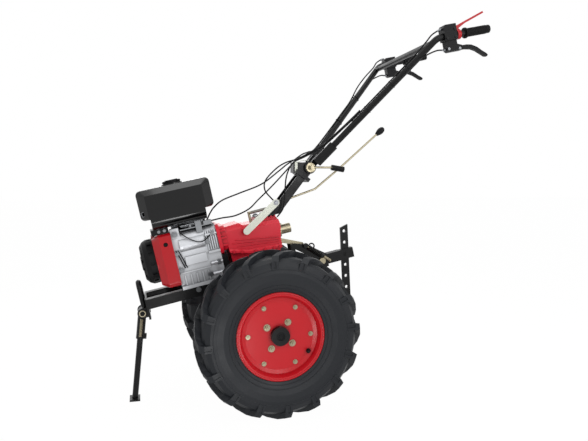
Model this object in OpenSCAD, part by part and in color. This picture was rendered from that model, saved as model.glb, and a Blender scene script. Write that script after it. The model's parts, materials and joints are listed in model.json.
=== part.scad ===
// Walking tractor with two lugged wheels, parked nose down on its front stand.
// X points forward, Y to the left, Z up, and the floor is at zero.
// The chassis is drawn level around the wheel axle and then pitched as it parks.

/* [Wheels] */
// Outside diameter of a tyre over its lugs
tyre_d = 640; // [600:5:700]
// Width of a tyre across the sidewalls
tyre_w = 168; // [150:2:190]
// Diameter of a rim over its flanges
rim_d = 338; // [310:2:350]
// Width of a rim over its flanges
rim_w = 130; // [116:2:140]
// Distance between the centres of the two tyres
track = 620; // [600:5:700]
// Number of lugs on each half of a tyre
lug_count = 16; // [12:1:18]
// Height of the lugs above the tread
lug_h = 22; // [14:1:26]
// Angle that a lug sweeps from shoulder to centre
lug_sweep = 17; // [8:1:24]
// Circle of the rim's outer bolts
rim_bolt_circle = 242; // [220:2:260]
// Circle of the hub bolts
hub_bolt_circle = 117; // [100:1:130]
// Diameter of the wheel axle
axle_d = 32; // [26:1:36]
// Diameter of the hub's end
hub_d = 71; // [60:1:80]

/* [Stance] */
// Nose-down pitch of the parked chassis
parked_pitch = 12.5; // [8:0.5:14]

/* [Frame] */
// Height of the engine rails
rail_h = 40; // [30:1:50]
// Wall of the engine rails
rail_t = 5; // [4:0.5:7]
// Half width over the engine rails
rail_y = 100; // [95:1:110]
// Front end of the rails ahead of the axle
rail_front = 455; // [440:1:480]
// Tube of the bumper hoop
hoop_d = 22; // [18:1:26]
// Height of the bumper hoop above its foot
hoop_h = 108; // [80:2:130]
// Reach of the stand's pivot ahead of the rails
pivot_reach = 23; // [21:1:30]
// Drop of the stand's pivot below the rails' top
pivot_drop = 61; // [50:1:66]
// Forward lean of the stand's leg
leg_lean = 5.5; // [3:0.5:8]
// Upper sleeve of the stand
sleeve_d = 34; // [30:1:38]
// Lower tube of the stand
leg_d = 24; // [20:1:28]

/* [Engine] */
// Height of the engine's feet above the axle
engine_z = 213; // [200:1:225]
// Height of the crankshaft above the feet
crank_h = 132; // [125:1:140]
// Rear face of the engine ahead of the axle
engine_x = 119; // [112:1:130]
// Length of the crankcase
crankcase_l = 181; // [165:1:195]
// Width of the crankcase
crankcase_w = 216; // [200:2:230]
// Depth of the fan shroud
shroud_l = 75; // [60:1:85]
// Depth of the recoil starter
recoil_l = 60; // [45:1:70]
// Diameter of the recoil starter
recoil_d = 184; // [160:2:200]
// Length of the fuel tank
tank_l = 290; // [266:2:306]
// Width of the fuel tank
tank_w = 250; // [220:2:270]
// Height of the fuel tank
tank_h = 162; // [140:2:180]
// Fins on the cylinder
fin_count = 8; // [5:1:10]

/* [Gearbox] */
// Half width of the upper gear case at the engine
case_y = 92; // [85:1:100]
// Half width of the lower gear case
lower_y = 62; // [55:1:66]
// Rear face of the gear case behind the axle
case_rear = 150; // [140:1:165]
// Height of the gear case's rear top above the axle
case_top_r = 400; // [390:1:410]
// Radius of the gear case around the axle
axle_case_r = 82; // [70:1:90]
// Diameter of the rear shaft's cap
pto_d = 42; // [36:1:48]

/* [Hitch] */
// Side of the square hitch beam
beam_s = 44; // [36:1:50]
// Rear end of the hitch beam behind the axle
beam_rear = 402; // [395:1:415]
// Width of the depth bar
bar_w = 34; // [30:1:40]
// Thickness of the depth bar
bar_t = 12; // [8:1:16]
// Length of the depth bar
bar_l = 420; // [380:5:440]
// Spacing of the holes in the depth bar
bar_pitch = 50; // [44:1:54]
// Diameter of the holes in the depth bar
bar_hole_d = 14; // [10:1:16]
// Diameter of the hitch pin
hitch_pin_d = 16; // [12:1:18]

/* [Handlebar] */
// Height of the tilt joint above the gear case
tilt_rise = 179; // [170:1:190]
// Distance of the tilt joint behind the axle
tilt_x = 341; // [330:1:350]
// Tube of the handlebar
handle_d = 27; // [24:1:32]
// Tube of the sockets
socket_d = 40; // [36:1:44]
// Half spacing of the sockets at the joint
socket_y = 50; // [48:1:56]
// Half spacing of the tubes at the bend
bend_y = 304; // [290:1:318]
// Half spacing of the grips' ends
grip_y = 281; // [268:1:295]
// Length of a grip
grip_l = 118; // [100:1:130]
// Diameter of a grip
grip_d = 33; // [30:1:36]

/* [Fits] */
// Gap between pieces that turn on each other
turn_gap = 0.3; // [0.2:0.05:0.5]
// Gap between a bore and its pin
pin_gap = 0.15; // [0.1:0.05:0.3]

/* [Hidden] */
$fn = 48;
black_paint = "#1b1c1e";
red_paint = "#b3121d";
red_cast = "#a3131c";
alloy = "#b7babd";
steel = "#8d9092";
zinc = "#b5a778";
cream_zinc = "#d8d6c0";
rubber = "#26282b";
black_plastic = "#232426";

tyre_r = tyre_d / 2;
rim_r = rim_d / 2;
half_track = track / 2;
crank_z = engine_z + crank_h;
crankcase_front = engine_x + crankcase_l;
shroud_front = crankcase_front + shroud_l;
pivot = [rail_front + pivot_reach, 0, engine_z - pivot_drop];
tilt = [-tilt_x, 0, case_top_r + tilt_rise];
bend_pt = tilt + [-551, bend_y, 402];
grip_end = tilt + [-796, grip_y, 405];
handle_start = tilt + [-8, socket_y, 1];
foot_l = 42;
foot_w = 64;
foot_t = 7;

// A level chassis point as it parks, measured from the axle
function parked(p) = [
    cos(parked_pitch) * p[0] + sin(parked_pitch) * p[2],
    p[1],
    cos(parked_pitch) * p[2] - sin(parked_pitch) * p[0]
];
leg_h = tyre_r + parked(pivot)[2];
foot_x = parked(pivot)[0] + leg_h * tan(leg_lean);
front_end = foot_x + foot_l / 2;
rear_end = parked(grip_end)[0] - grip_d / 6;
origin_x = -(front_end + rear_end) / 2;

function unit(v) = v / norm(v);
function along(a, b, d) = a + unit(b - a) * d;

// Placing

// Sets a level chassis piece down as it parks
module chassis() {
    translate([origin_x, 0, tyre_r]) rotate([0, parked_pitch, 0]) children();
}

// Sets a wheel piece, drawn around the Y axis with its outer face at +Y, on one side
module wheel(side) {
    translate([origin_x, 0, tyre_r])
        mirror([0, side < 0 ? 1 : 0, 0])
            translate([0, half_track, 0]) children();
}

// A shape of revolution drawn as [radius, y] points and spun around Y
module spun_y(points) {
    rotate([-90, 0, 0]) rotate_extrude() polygon(points);
}

// A cylinder along Y from y0 to y1
module rod_y(d, y0, y1) {
    translate([0, y0, 0]) rotate([-90, 0, 0]) cylinder(d = d, h = y1 - y0);
}

// A cylinder along X from x0 to x1
module rod_x(d, x0, x1) {
    translate([x0, 0, 0]) rotate([0, 90, 0]) cylinder(d = d, h = x1 - x0);
}

// A prism along Y over an outline drawn in X and Z
module plate_y(y0, y1) {
    translate([0, y1, 0]) rotate([90, 0, 0]) linear_extrude(y1 - y0) children();
}

// A prism along X over an outline drawn in Y and Z
module plate_x(x0, x1) {
    translate([x0, 0, 0]) rotate([90, 0, 90]) linear_extrude(x1 - x0) children();
}

// A straight round bar between two points
module bar(a, b, d) {
    v = b - a;
    translate(a)
        rotate([0, acos(v[2] / norm(v)), atan2(v[1], v[0])])
            cylinder(d = d, h = norm(v));
}

// A rounded rectangle centred on the origin
module rounded(size, r) {
    square([size[0] - 2 * r, size[1]], center = true);
    square([size[0], size[1] - 2 * r], center = true);
    for (sx = [-1, 1], sy = [-1, 1])
        translate([sx * (size[0] / 2 - r), sy * (size[1] / 2 - r)]) circle(r);
}

// Rings of a swept tube: one ring of points square to the path at each point
function path_dir(p, i) =
    let (n = len(p) - 1, a = max(i - 1, 0), b = min(i + 1, n))
    unit((i > 0 ? unit(p[i] - p[a]) : [0, 0, 0]) + (i < n ? unit(p[b] - p[i]) : [0, 0, 0]));
function path_ring(c, t, d, sides) =
    let (u = unit(cross(t, [0, 1, 0])), v = cross(u, t))
    [for (k = [0:sides - 1]) c + d / 2 * (cos(360 * k / sides) * u + sin(360 * k / sides) * v)];

// A closed round tube along a path of points
module tube(p, d, sides) {
    n = len(p);
    rings = [for (i = [0:n - 1]) each path_ring(p[i], path_dir(p, i), d, sides)];
    walls = [
        for (i = [0:n - 2]) for (k = [0:sides - 1])
            [i * sides + k, i * sides + (k + 1) % sides, (i + 1) * sides + (k + 1) % sides, (i + 1) * sides + k]
    ];
    start = [for (k = [sides - 1:-1:0]) k];
    finish = [for (k = [0:sides - 1]) (n - 1) * sides + k];
    polyhedron(rings, concat(walls, [start], [finish]), convexity = 6);
}

// The arc that rounds the corner at b between a and c
function corner_arc(a, b, c, r, steps) =
    let (
        u = unit(b - a), v = unit(c - b), turn = acos(u * v),
        side = unit(v - u * (u * v)), centre = b - u * (r * tan(turn / 2)) + side * r
    )
    [for (k = [0:steps]) centre - side * (r * cos(turn * k / steps)) + u * (r * sin(turn * k / steps))];

// A round bar through points, bent to a radius at each inner point
module bent_bar(points, d, bend_r, sides = 16, steps = 4) {
    n = len(points);
    arcs = [for (i = [1:n - 2]) each corner_arc(points[i - 1], points[i], points[i + 1], bend_r, steps)];
    tube(concat([points[0]], arcs, [points[n - 1]]), d, sides);
}

// Points on a smooth curve through a cable's own points
function smooth_at(p, i, f) =
    let (
        a = p[max(i - 1, 0)], b = p[i],
        c = p[min(i + 1, len(p) - 1)], e = p[min(i + 2, len(p) - 1)]
    )
    0.5 * (2 * b + (c - a) * f + (2 * a - 5 * b + 4 * c - e) * f * f + (3 * b - a - 3 * c + e) * f * f * f);
function smooth(p, steps) = concat(
    [for (i = [0:len(p) - 2]) for (k = [0:steps - 1]) smooth_at(p, i, k / steps)],
    [p[len(p) - 1]]
);

module cable(route, d) {
    tube(smooth(route, 2), d, 8);
}

// Frame

rail_w = rail_y - lower_y - turn_gap;
rail_rear = 30;
plate_t = 8;
ear_t = 6;
ear_y = 38;
ear_r = 20;
pin_d = 16;
front_plate_h = pivot_drop + ear_r;
spring_d = 13;
notch_y = sleeve_d / 2 + spring_d + 6;
notch_h = 2 * ear_r + 6;
upright_t = 24;
upright_y = 96;

module rail() {
    difference() {
        translate([rail_rear, rail_y - rail_w, engine_z - rail_h])
            cube([rail_front - rail_rear, rail_w, rail_h]);
        translate([rail_rear - 1, rail_y - rail_w - 1, engine_z - rail_h + rail_t])
            cube([rail_front - rail_rear + 2, rail_w + 1 - rail_t, rail_h - 2 * rail_t]);
    }
}

module stand_ear() {
    plate_y(ear_y, ear_y + ear_t)
        difference() {
            union() {
                translate([pivot[0], pivot[2]]) circle(ear_r);
                translate([rail_front - plate_t, pivot[2] - ear_r])
                    square([pivot_reach + plate_t, 2 * ear_r]);
            }
            translate([pivot[0], pivot[2]]) circle(d = pin_d + 2 * pin_gap);
        }
}

module frame() {
    cross_x = [rail_front - plate_t, crankcase_front + 20];
    color(black_paint) chassis() {
        for (s = [0, 1]) mirror([0, s, 0]) {
            rail();
            stand_ear();
        }
        plate_x(rail_front - plate_t, rail_front) difference() {
            translate([-rail_y, engine_z - front_plate_h]) square([2 * rail_y, front_plate_h]);
            translate([-notch_y, engine_z - front_plate_h - 1]) square([2 * notch_y, notch_h + 1]);
        }
        translate([cross_x[1], -rail_y + 1, engine_z - rail_h])
            cube([rail_h, 2 * rail_y - 2, rail_t]);
        translate([engine_x - turn_gap - upright_t, -upright_y, engine_z - 1])
            cube([upright_t, 2 * upright_y, bell_z0 - turn_gap - engine_z + 1]);
    }
}

hoop_w = 50;
hoop_foot = pivot[2] + ear_r + 4;

module bumper_hoop() {
    top = hoop_foot + hoop_h - hoop_w / 2 - hoop_d / 2;
    color(black_paint) chassis() translate([rail_front + hoop_d / 2, 0, 0]) {
        for (s = [-1, 1])
            translate([0, s * hoop_w / 2, hoop_foot]) cylinder(d = hoop_d, h = top - hoop_foot);
        translate([0, 0, top]) rotate([90, 0, 90])
            rotate_extrude(angle = 180) translate([hoop_w / 2, 0]) circle(d = hoop_d);
    }
}

module stand_pin() {
    head = 5;
    reach = ear_y + ear_t + pin_gap;
    color(zinc) chassis() translate(pivot) {
        rod_y(pin_d, -reach - head, reach + head);
        for (s = [0, 1]) mirror([0, s, 0]) rod_y(1.7 * pin_d, reach, reach + head);
    }
}

// Stand

sleeve_l = 112;
heel_t = 14;
heel_h = 12;
heel_w = 20;

module stand_place() {
    translate([origin_x + parked(pivot)[0], 0, leg_h]) children();
}

module stand_leg() {
    slant = leg_h / cos(leg_lean);
    heel_z = notch_h - ear_r;
    color(black_paint) stand_place() {
        difference() {
            union() {
                rod_y(sleeve_d, -ear_y + turn_gap, ear_y - turn_gap);
                rotate([0, -leg_lean, 0]) {
                    translate([0, 0, -sleeve_l]) cylinder(d = sleeve_d, h = sleeve_l);
                    translate([0, 0, -slant + foot_t]) cylinder(d = leg_d, h = slant - foot_t);
                    translate([-sleeve_d / 2 - 8, -6, -sleeve_l]) cube([12, 12, 22]);
                }
                rotate([0, parked_pitch, 0]) translate([-pivot_reach + turn_gap, -heel_w / 2, 0])
                    cube([heel_t, heel_w, heel_z + heel_h]);
            }
            rod_y(pin_d + 2 * pin_gap, -ear_y, ear_y);
        }
        intersection() {
            translate([foot_x - parked(pivot)[0] - foot_l / 2, -foot_w / 2, -leg_h])
                cube([foot_l, foot_w, foot_t + leg_d / 2]);
            union() {
                translate([foot_x - parked(pivot)[0] - foot_l / 2, -foot_w / 2, -leg_h])
                    cube([foot_l, foot_w, foot_t]);
                rotate([0, -leg_lean, 0]) translate([0, 0, -slant - leg_d]) cylinder(d = leg_d, h = leg_d * 2);
            }
        }
    }
}

spring_wire = 3.5;
spring_turns = 18;

module stand_spring() {
    pitch = spring_wire * 1.15;
    color(zinc) stand_place() rotate([0, -leg_lean, 0])
        translate([0, sleeve_d / 2 + spring_d / 2 + turn_gap, -sleeve_l + 12]) {
            for (i = [0:spring_turns - 1])
                translate([0, 0, i * pitch + spring_wire / 2])
                    rotate_extrude() translate([(spring_d - spring_wire) / 2, 0]) circle(d = spring_wire);
            cylinder(d = spring_d - spring_wire, h = spring_turns * pitch);
        }
}

// Engine

case_top = crank_z + 103;
foot_bar_h = 14;
cover_l = 48;
side_y = 8;
crank_y0 = -crankcase_w / 2 - 4;
crank_y1 = crankcase_w / 2 - 4;

// Outline of the crankcase seen along the shaft
module crankcase_outline() {
    shoulder = 36;
    flat_w = crankcase_w - 2 * side_y;
    translate([crank_y0 + side_y, engine_z]) square([flat_w, case_top - engine_z - shoulder]);
    translate([crank_y0 + side_y + shoulder, case_top - shoulder - 1])
        square([flat_w - 2 * shoulder, shoulder + 1]);
    for (y = [crank_y0 + side_y + shoulder, crank_y1 - side_y - shoulder])
        translate([y, case_top - shoulder]) circle(shoulder);
}

module crankcase() {
    rib_t = 5;
    x0 = engine_x + cover_l;
    l = crankcase_l - cover_l;
    bulge_r = 44;
    pad_h = 38;
    side = crank_y1 - side_y;
    color(alloy) chassis() {
        plate_x(x0, crankcase_front) crankcase_outline();
        translate([x0, crank_y0, engine_z]) cube([l, crankcase_w, foot_bar_h]);
        plate_x(x0 + 6, crankcase_front - 26)
            translate([crank_y1 - bulge_r, crank_z + bulge_r]) circle(bulge_r);
        translate([x0 + 10, side - 6, crank_z - pad_h]) cube([l - 46, 12, pad_h - 4]);
        translate([crankcase_front - 36, side - 40, case_top - 60]) cube([34, 38, 74]);
        for (p = [[l - 18, 94], [l - 10, 16], [l - 12, -52], [12, -96]])
            translate([x0 + p[0], side - 10, crank_z + p[1]]) rod_y(20, 0, 14);
        for (x = [x0 + 14:24:crankcase_front - 12])
            translate([x, side - 2, engine_z]) cube([rib_t, side_y, 56]);
        translate([x0 + 4, side - 2, engine_z + 64]) cube([l - 8, 6, rib_t]);
    }
}

module crankcase_cover() {
    rib_t = 4;
    rib_h = 78;
    side = crank_y1 - side_y;
    boss_d = 16;
    color(alloy) chassis() {
        plate_x(engine_x, engine_x + cover_l) crankcase_outline();
        for (x = [engine_x + 5:9:engine_x + cover_l - 6])
            translate([x, side - 4, crank_z + 2]) cube([rib_t, 10, rib_h]);
        translate([engine_x, side - 4, crank_z - 12]) cube([cover_l, 12, 9]);
        for (z = [engine_z + 34, engine_z + 78, case_top - 40])
            translate([0, side - 1, z]) rod_x(boss_d, engine_x, engine_x + cover_l);
    }
}

shroud_r = 118;
shroud_y = 128;

shroud_h = 216;
shroud_bevel = 28;
duct_w = 150;
duct_h = 96;

// Outline of the shroud's near side, drawn in on all sides by a step
module shroud_near(step) {
    y0 = 20;
    translate([(y0 + shroud_y - step) / 2, crank_z]) rounded([shroud_y - step - y0, shroud_h - step], 20);
}

module fan_shroud() {
    color(red_paint) chassis() difference() {
        union() {
            plate_x(crankcase_front, shroud_front - 12) {
                translate([0, crank_z]) circle(shroud_r - 10);
                translate([-duct_w, crank_z + 10]) square([duct_w, duct_h]);
            }
            translate([0, 0, crank_z]) rod_x(2 * shroud_r - 24, shroud_front - 13, shroud_front);
            plate_x(crankcase_front, shroud_front - shroud_bevel) shroud_near(0);
            hull() {
                plate_x(shroud_front - shroud_bevel - 1, shroud_front - shroud_bevel) shroud_near(0);
                plate_x(shroud_front - 1, shroud_front) shroud_near(shroud_bevel);
            }
        }
        translate([crankcase_front + 26, shroud_y - 6, crank_z + 66]) rod_y(18, 0, 10);
    }
}

module recoil_starter() {
    slots = 14;
    r = recoil_d / 2;
    color(black_plastic) chassis() translate([shroud_front, 0, crank_z]) difference() {
        rotate([0, 90, 0]) rotate_extrude() polygon([
            [0, 0], [r, 0], [r, recoil_l * 0.45], [r - 8, recoil_l * 0.72],
            [r - 24, recoil_l * 0.93], [30, recoil_l * 0.96], [28, recoil_l], [0, recoil_l]
        ]);
        for (i = [0:slots - 1])
            rotate([i * 360 / slots, 0, 0])
                translate([recoil_l * 0.52, -5, r * 0.48]) cube([recoil_l, 10, r * 0.34]);
        for (i = [0:slots - 1])
            rotate([(i + 0.5) * 360 / slots, 0, 0])
                translate([recoil_l * 0.12, -6, r - 5]) cube([recoil_l * 0.28, 12, 10]);
    }
}

far_top = case_top + 158;
far_h = 96;
far_y0 = -262;
far_w = 150;
tank_gap = 16;
tank_z0 = case_top + 27;
tank_top = tank_z0 + tank_h;
tank_x0 = engine_x - 15;
tank_y0 = far_y0 + far_w + tank_gap;
tank_y1 = tank_y0 + tank_w;
tank_bevel = 34;
tank_round = 44;
neck_h = 4;
cap_d = 70;
cap_at = [tank_x0 + 140, tank_y0 + 130, tank_top];

// A flat slab with rounded corners that a tank's shell is stretched over
module tank_slab(l, x, y, z0, z1, r) {
    translate([x + l / 2, y, (z0 + z1) / 2]) rotate([90, 0, 0])
        linear_extrude(1) rounded([l, z1 - z0], r, $fn = 32);
}

module fuel_tank() {
    panel_x = tank_x0 + 36;
    panel_l = tank_l - 66;
    panel_top = tank_top - 23;
    shell_z0 = tank_z0 + tank_round;
    seam_t = 3;
    lap = 0.5;
    body_h = 2 * tank_round + 20;
    color(black_paint) chassis() {
        hull() {
            tank_slab(tank_l, tank_x0, tank_y1 - tank_bevel, shell_z0, tank_top, 18);
            tank_slab(tank_l, tank_x0, tank_y0 + tank_bevel, shell_z0, tank_top, 18);
            tank_slab(panel_l, panel_x, tank_y1, shell_z0 + 2, panel_top, 4);
            tank_slab(panel_l, panel_x, tank_y0 + 1, shell_z0 + 2, panel_top, 4);
        }
        plate_x(panel_x + 4, panel_x + panel_l - 4)
            translate([(tank_y0 + tank_y1) / 2, tank_z0 + body_h / 2])
                rounded([tank_w - 2 * lap, body_h], tank_round);
        translate([panel_x + 3, tank_y0 - 2, shell_z0 + 32]) cube([panel_l - 6, tank_w + 4, seam_t]);
        translate(cap_at - [0, 0, 1]) cylinder(d = cap_d + 14, h = neck_h + 1);
    }
}

module fuel_cap() {
    grips = 20;
    cap_h = 11;
    color(black_plastic) chassis() translate(cap_at + [0, 0, neck_h]) {
        cylinder(d = cap_d, h = cap_h);
        for (i = [0:grips - 1])
            rotate([0, 0, i * 360 / grips]) translate([cap_d / 2 - 1, -2, 2]) cube([3, 4, cap_h - 4]);
        translate([0, 0, cap_h - 1]) cylinder(d = cap_d - 18, h = 4);
    }
}

// Linkage that stands on the crankcase beside the tank
module governor() {
    x0 = engine_x + 8;
    l = crankcase_l - 50;
    z0 = case_top;
    y1 = crank_y1 - side_y;
    top = tank_z0 - 2 - z0;
    color(steel) chassis() {
        translate([x0, 30, z0]) cube([l, y1 - 30, 4]);
        translate([x0, y1 - 26, z0]) cube([34, 26, top - 7]);
        translate([x0 + 44, y1 - 1, z0 - 22]) cube([24, 5, top + 22]);
        translate([x0 + 38, 70, z0]) cylinder(d = 14, h = top);
        translate([x0 + 88, 76, z0]) cylinder(d = 18, h = top - 6);
        translate([x0 + 32, 66, z0 + 10]) cube([l - 40, 8, 5]);
        translate([0, y1 - 14, z0 + 17]) rod_x(9, x0 + 60, x0 + l - 4);
    }
}

module tank_bracket() {
    t = 4;
    w = 26;
    top = tank_z0 - t - turn_gap;
    front = shroud_front - 4;
    near = tank_y1 - tank_round - 8;
    color(black_paint) chassis() {
        for (x = [engine_x + 24, crankcase_front - 66]) {
            translate([x, -40, case_top]) cube([w, 60, t]);
            translate([x, -6, case_top]) cube([w, t, top - case_top + t]);
            translate([x, -6, top]) cube([w, 36, t]);
        }
        translate([crankcase_front - 66, -6, top]) cube([front - crankcase_front + 66, 36, t]);
        translate([crankcase_front + 2, -6, top]) cube([front - crankcase_front - 2, near + 6, t]);
        translate([crankcase_front + 2, near - t, crank_z + shroud_h / 2 + turn_gap])
            cube([front - crankcase_front - 2, t, top + t - crank_z - shroud_h / 2 - turn_gap]);
        translate([front - t, 20, crank_z + shroud_h / 2 + turn_gap])
            cube([t, near - 20, top + t - crank_z - shroud_h / 2 - turn_gap]);
    }
}

cyl_x = 216;
cyl_tilt = 65;
barrel_0 = 96;
barrel_l = 92;
head_l = 40;
head_s = 132;

// Sets a piece along the cylinder, which leans out to the right
module cylinder_place() {
    chassis() translate([cyl_x, 0, crank_z]) rotate([cyl_tilt, 0, 0]) children();
}

module cylinder_clear() {
    translate([engine_x - 1, crank_y0 + 8 - turn_gap, engine_z - 1])
        cube([crankcase_l + 2, crankcase_w, case_top - engine_z + head_s]);
}

module cylinder_block() {
    color(alloy) difference() {
        cylinder_place() {
            translate([0, 0, 40]) cylinder(d = 104, h = barrel_0 + barrel_l - 40);
            for (i = [0:fin_count - 1])
                translate([-head_s / 2, -head_s / 2, barrel_0 + 12 + i * (barrel_l - 12) / fin_count])
                    cube([head_s, head_s, 4]);
            translate([-head_s / 2, -head_s / 2, barrel_0 + barrel_l]) cube([head_s, head_s, head_l]);
        }
        chassis() cylinder_clear();
    }
}

module valve_cover() {
    z = barrel_0 + barrel_l + head_l;
    color(steel) cylinder_place() {
        translate([0, 0, z]) linear_extrude(6) rounded([104, 92], 16);
        translate([0, 0, z + 6]) linear_extrude(22) rounded([92, 80], 14);
    }
}

muffler_x = 96;
muffler_l = 104;
cleaner_l = 104;
port_y = -160;

// Room around the cylinder head that ports stop at
module head_room() {
    g = turn_gap;
    cylinder_place() translate([-head_s / 2 - g, -head_s / 2 - g, barrel_0 - g])
        cube([head_s + 2 * g, head_s + 2 * g, barrel_l + head_l + 2 * g]);
}

module muffler() {
    port_x = cyl_x - head_s / 2 + 22;
    color(steel) difference() {
        chassis() {
            translate([muffler_x, far_y0 + far_w / 2, far_top - far_h / 2]) rotate([90, 0, 90])
                linear_extrude(muffler_l) rounded([far_w, far_h], 30);
            translate([port_x, port_y, far_top - far_h - 60]) cylinder(d = 30, h = 66);
        }
        head_room();
        chassis() translate([0, far_y0 + 34, far_top - 62]) rod_x(30, muffler_x - 1, muffler_x + 12);
    }
}

module air_cleaner() {
    x = muffler_x + muffler_l + 12;
    color(black_plastic) difference() {
        chassis() translate([x + cleaner_l / 2, far_y0 + far_w / 2, far_top - far_h]) {
            linear_extrude(far_h - 6) rounded([cleaner_l, far_w], 22);
            translate([0, 0, far_h - 7]) linear_extrude(9) rounded([cleaner_l - 24, far_w - 24], 16);
            translate([0, 0, far_h]) cylinder(d = 26, h = 14);
            translate([-12, port_y - far_y0 - far_w / 2, -60]) cylinder(d = 34, h = 66);
        }
        head_room();
    }
}

// Gearbox

bell_l = 36;
bell_x0 = engine_x - bell_l;
case_mid = 4;
ledge_f = 322;
ledge_m = 300;
ledge_r = 291;
bell_z0 = ledge_f - 8;
case_top_m = case_top_r + 9;
case_top_f = case_top_r + 22;
bell_z1 = case_top_f + 18;

case_l = case_rear + case_mid;
case_slope = atan((case_top_m - case_top_r) / case_l);
case_taper = 14;
rear_slant = 14;

// Side, top and lower rear of the gear case at a place along it
function case_side(x) = case_y - case_taper * (bell_x0 - 1 - x) / (case_rear + bell_x0 - 1);
function case_top_at(x) = case_top_r + (case_top_m - case_top_r) * (x + case_rear) / case_l;
function lower_rear(z) = -case_rear + 30 - (30 - rear_slant) * (z - 200) / (ledge_r + 8 - 200);

// A cross-section of the upper case, thin along X
module case_section(x, y, z0, z1, chamfer) {
    translate([x, 0, 0]) rotate([90, 0, 90]) linear_extrude(1) polygon([
        [-y, z0], [y, z0], [y, z1 - chamfer], [y - chamfer, z1], [chamfer - y, z1], [-y, z1 - chamfer]
    ]);
}

module clutch_housing() {
    flange_y = case_y + 13;
    flange_t = 14;
    neck_in = 11;
    mid_z = (bell_z0 + bell_z1) / 2;
    bell_h = bell_z1 - bell_z0;
    corner = 30;
    color(red_cast) chassis() {
        plate_x(engine_x - flange_t, engine_x) translate([0, mid_z]) rounded([2 * flange_y, bell_h], corner);
        plate_x(bell_x0, engine_x - flange_t + 1)
            translate([0, mid_z])
                rounded([2 * (flange_y - neck_in), bell_h - 2 * neck_in], corner - neck_in / 2);
        for (z = [mid_z - 30, mid_z, mid_z + 30], s = [-1, 1])
            translate([bell_x0, s * (flange_y - 8) - 5, z]) cube([bell_l - 8, 10, 7]);
    }
}

// Outline of the lower case seen from the side
module lower_case_outline() {
    circle(axle_case_r);
    polygon([
        [bell_x0 - 4, ledge_f + 6], [bell_x0 - 10, 200], [axle_case_r, 0], [-axle_case_r, 0],
        [lower_rear(200), 200], [lower_rear(ledge_r + 8), ledge_r + 8], [case_mid, ledge_m + 6]
    ]);
}

axle_sleeve_y = 150;
axle_sleeve_d = 74;
lip = 9;
lip_h = 8;
pto_z = case_top_r - 55;
tongue_w = 14;
tongue_z = 288;
tongue_h = 21;

module gear_case() {
    axle_bore = axle_d + 2 * turn_gap;
    rear_x = -case_rear + rear_slant;
    color(red_cast) chassis() {
        difference() {
            union() {
                plate_y(-lower_y, lower_y) lower_case_outline();
                rod_y(axle_sleeve_d, -axle_sleeve_y, axle_sleeve_y);
                for (s = [-1, 1]) translate([0, s * (lower_y + 5), 0]) rod_y(2 * axle_case_r - 30, -6, 6);
            }
            rod_y(axle_bore, -axle_sleeve_y - 1, -lower_y + 20);
            rod_y(axle_bore, lower_y - 20, axle_sleeve_y + 1);
        }
        hull() {
            case_section(bell_x0 - 1, case_y, ledge_f, case_top_f - 3, 20);
            case_section(case_mid + 14, case_side(case_mid + 14), ledge_m + 3, case_top_f, 20);
            case_section(case_mid, case_side(case_mid), ledge_m, case_top_m, 16);
        }
        hull() {
            case_section(case_mid, case_side(case_mid), ledge_m, case_top_m, 16);
            case_section(rear_x, case_side(-case_rear), ledge_r, case_top_r, 14);
            case_section(-case_rear, case_side(-case_rear), case_top_r - 34, case_top_r, 14);
        }
        hull() {
            case_section(bell_x0 - 1, case_y + lip, ledge_f - lip_h, ledge_f + lip_h, lip_h);
            case_section(case_mid, case_side(case_mid) + lip, ledge_m - lip_h, ledge_m + lip_h, lip_h);
        }
        hull() {
            case_section(case_mid, case_side(case_mid) + lip, ledge_m - lip_h, ledge_m + lip_h, lip_h);
            case_section(rear_x - 2, case_side(-case_rear) + lip, ledge_r - lip_h, ledge_r + lip_h, lip_h);
        }
        translate([-case_rear - 4, -tongue_w, tongue_z - 4])
            cube([rear_slant + 20, 2 * tongue_w, tongue_h + 8]);
        translate([0, 0, pto_z]) rod_x(pto_d + 26, -case_rear, -case_rear + 40);
    }
}

cover_rib_count = 6;
cover_l2 = 92;
cover_w = 116;
cover_h = 17;

// Sets a piece on the sloping top of the gear case, from its rear end
module case_top_place() {
    x = -case_rear + 4;
    chassis() translate([x, 0, case_top_at(x) + turn_gap]) rotate([0, -case_slope, 0]) children();
}

module case_cover() {
    color(red_cast) case_top_place() {
        translate([0, -cover_w / 2, 0]) cube([cover_l2, cover_w, 8]);
        for (i = [0:cover_rib_count - 1])
            translate([4 + i * (cover_l2 - 14) / (cover_rib_count - 1), 4 - cover_w / 2, 7])
                cube([6, cover_w - 8, cover_h - 7]);
    }
}

pto_l = 56;

module pto_cap() {
    color(zinc) chassis() translate([0, 0, pto_z]) {
        rod_x(pto_d + 18, -case_rear - 10, -case_rear);
        rod_x(pto_d, -case_rear - pto_l, -case_rear - 9);
    }
}

module case_tongue() {
    x = -case_rear - 4 - turn_gap;
    color(zinc) chassis() plate_y(-9, 9)
        polygon([
            [x, tongue_z + tongue_h], [x, tongue_z], [x - 88, tongue_z - 32],
            [x - 94, tongue_z - 28], [x - 92, tongue_z - 20]
        ]);
}

// Controls on the gearbox

seat_gap = 0.8;
arm_y = case_y + 14;
arm_low = [-2, arm_y, case_top_m - 24];
arm_top = [-146, arm_y, case_top_r + 72];

module clutch_arm() {
    w = 28;
    t = 6;
    v = arm_top - arm_low;
    color(cream_zinc) chassis() difference() {
        union() {
            translate(arm_low) rotate([0, -atan2(v[2], v[0]), 0]) {
                translate([0, 0, -w / 2]) cube([norm(v), t, w]);
                rod_y(w, 0, t);
                translate([norm(v), 0, 0]) rod_y(w, 0, t);
            }
            translate([arm_low[0], 0, arm_low[2]]) rod_y(18, case_side(arm_low[0]) + seat_gap, arm_y + 1);
        }
        translate(arm_top) rod_y(9, -1, t + 1);
    }
}

post_pt = [-34, 58];
post_h = 50;

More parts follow.
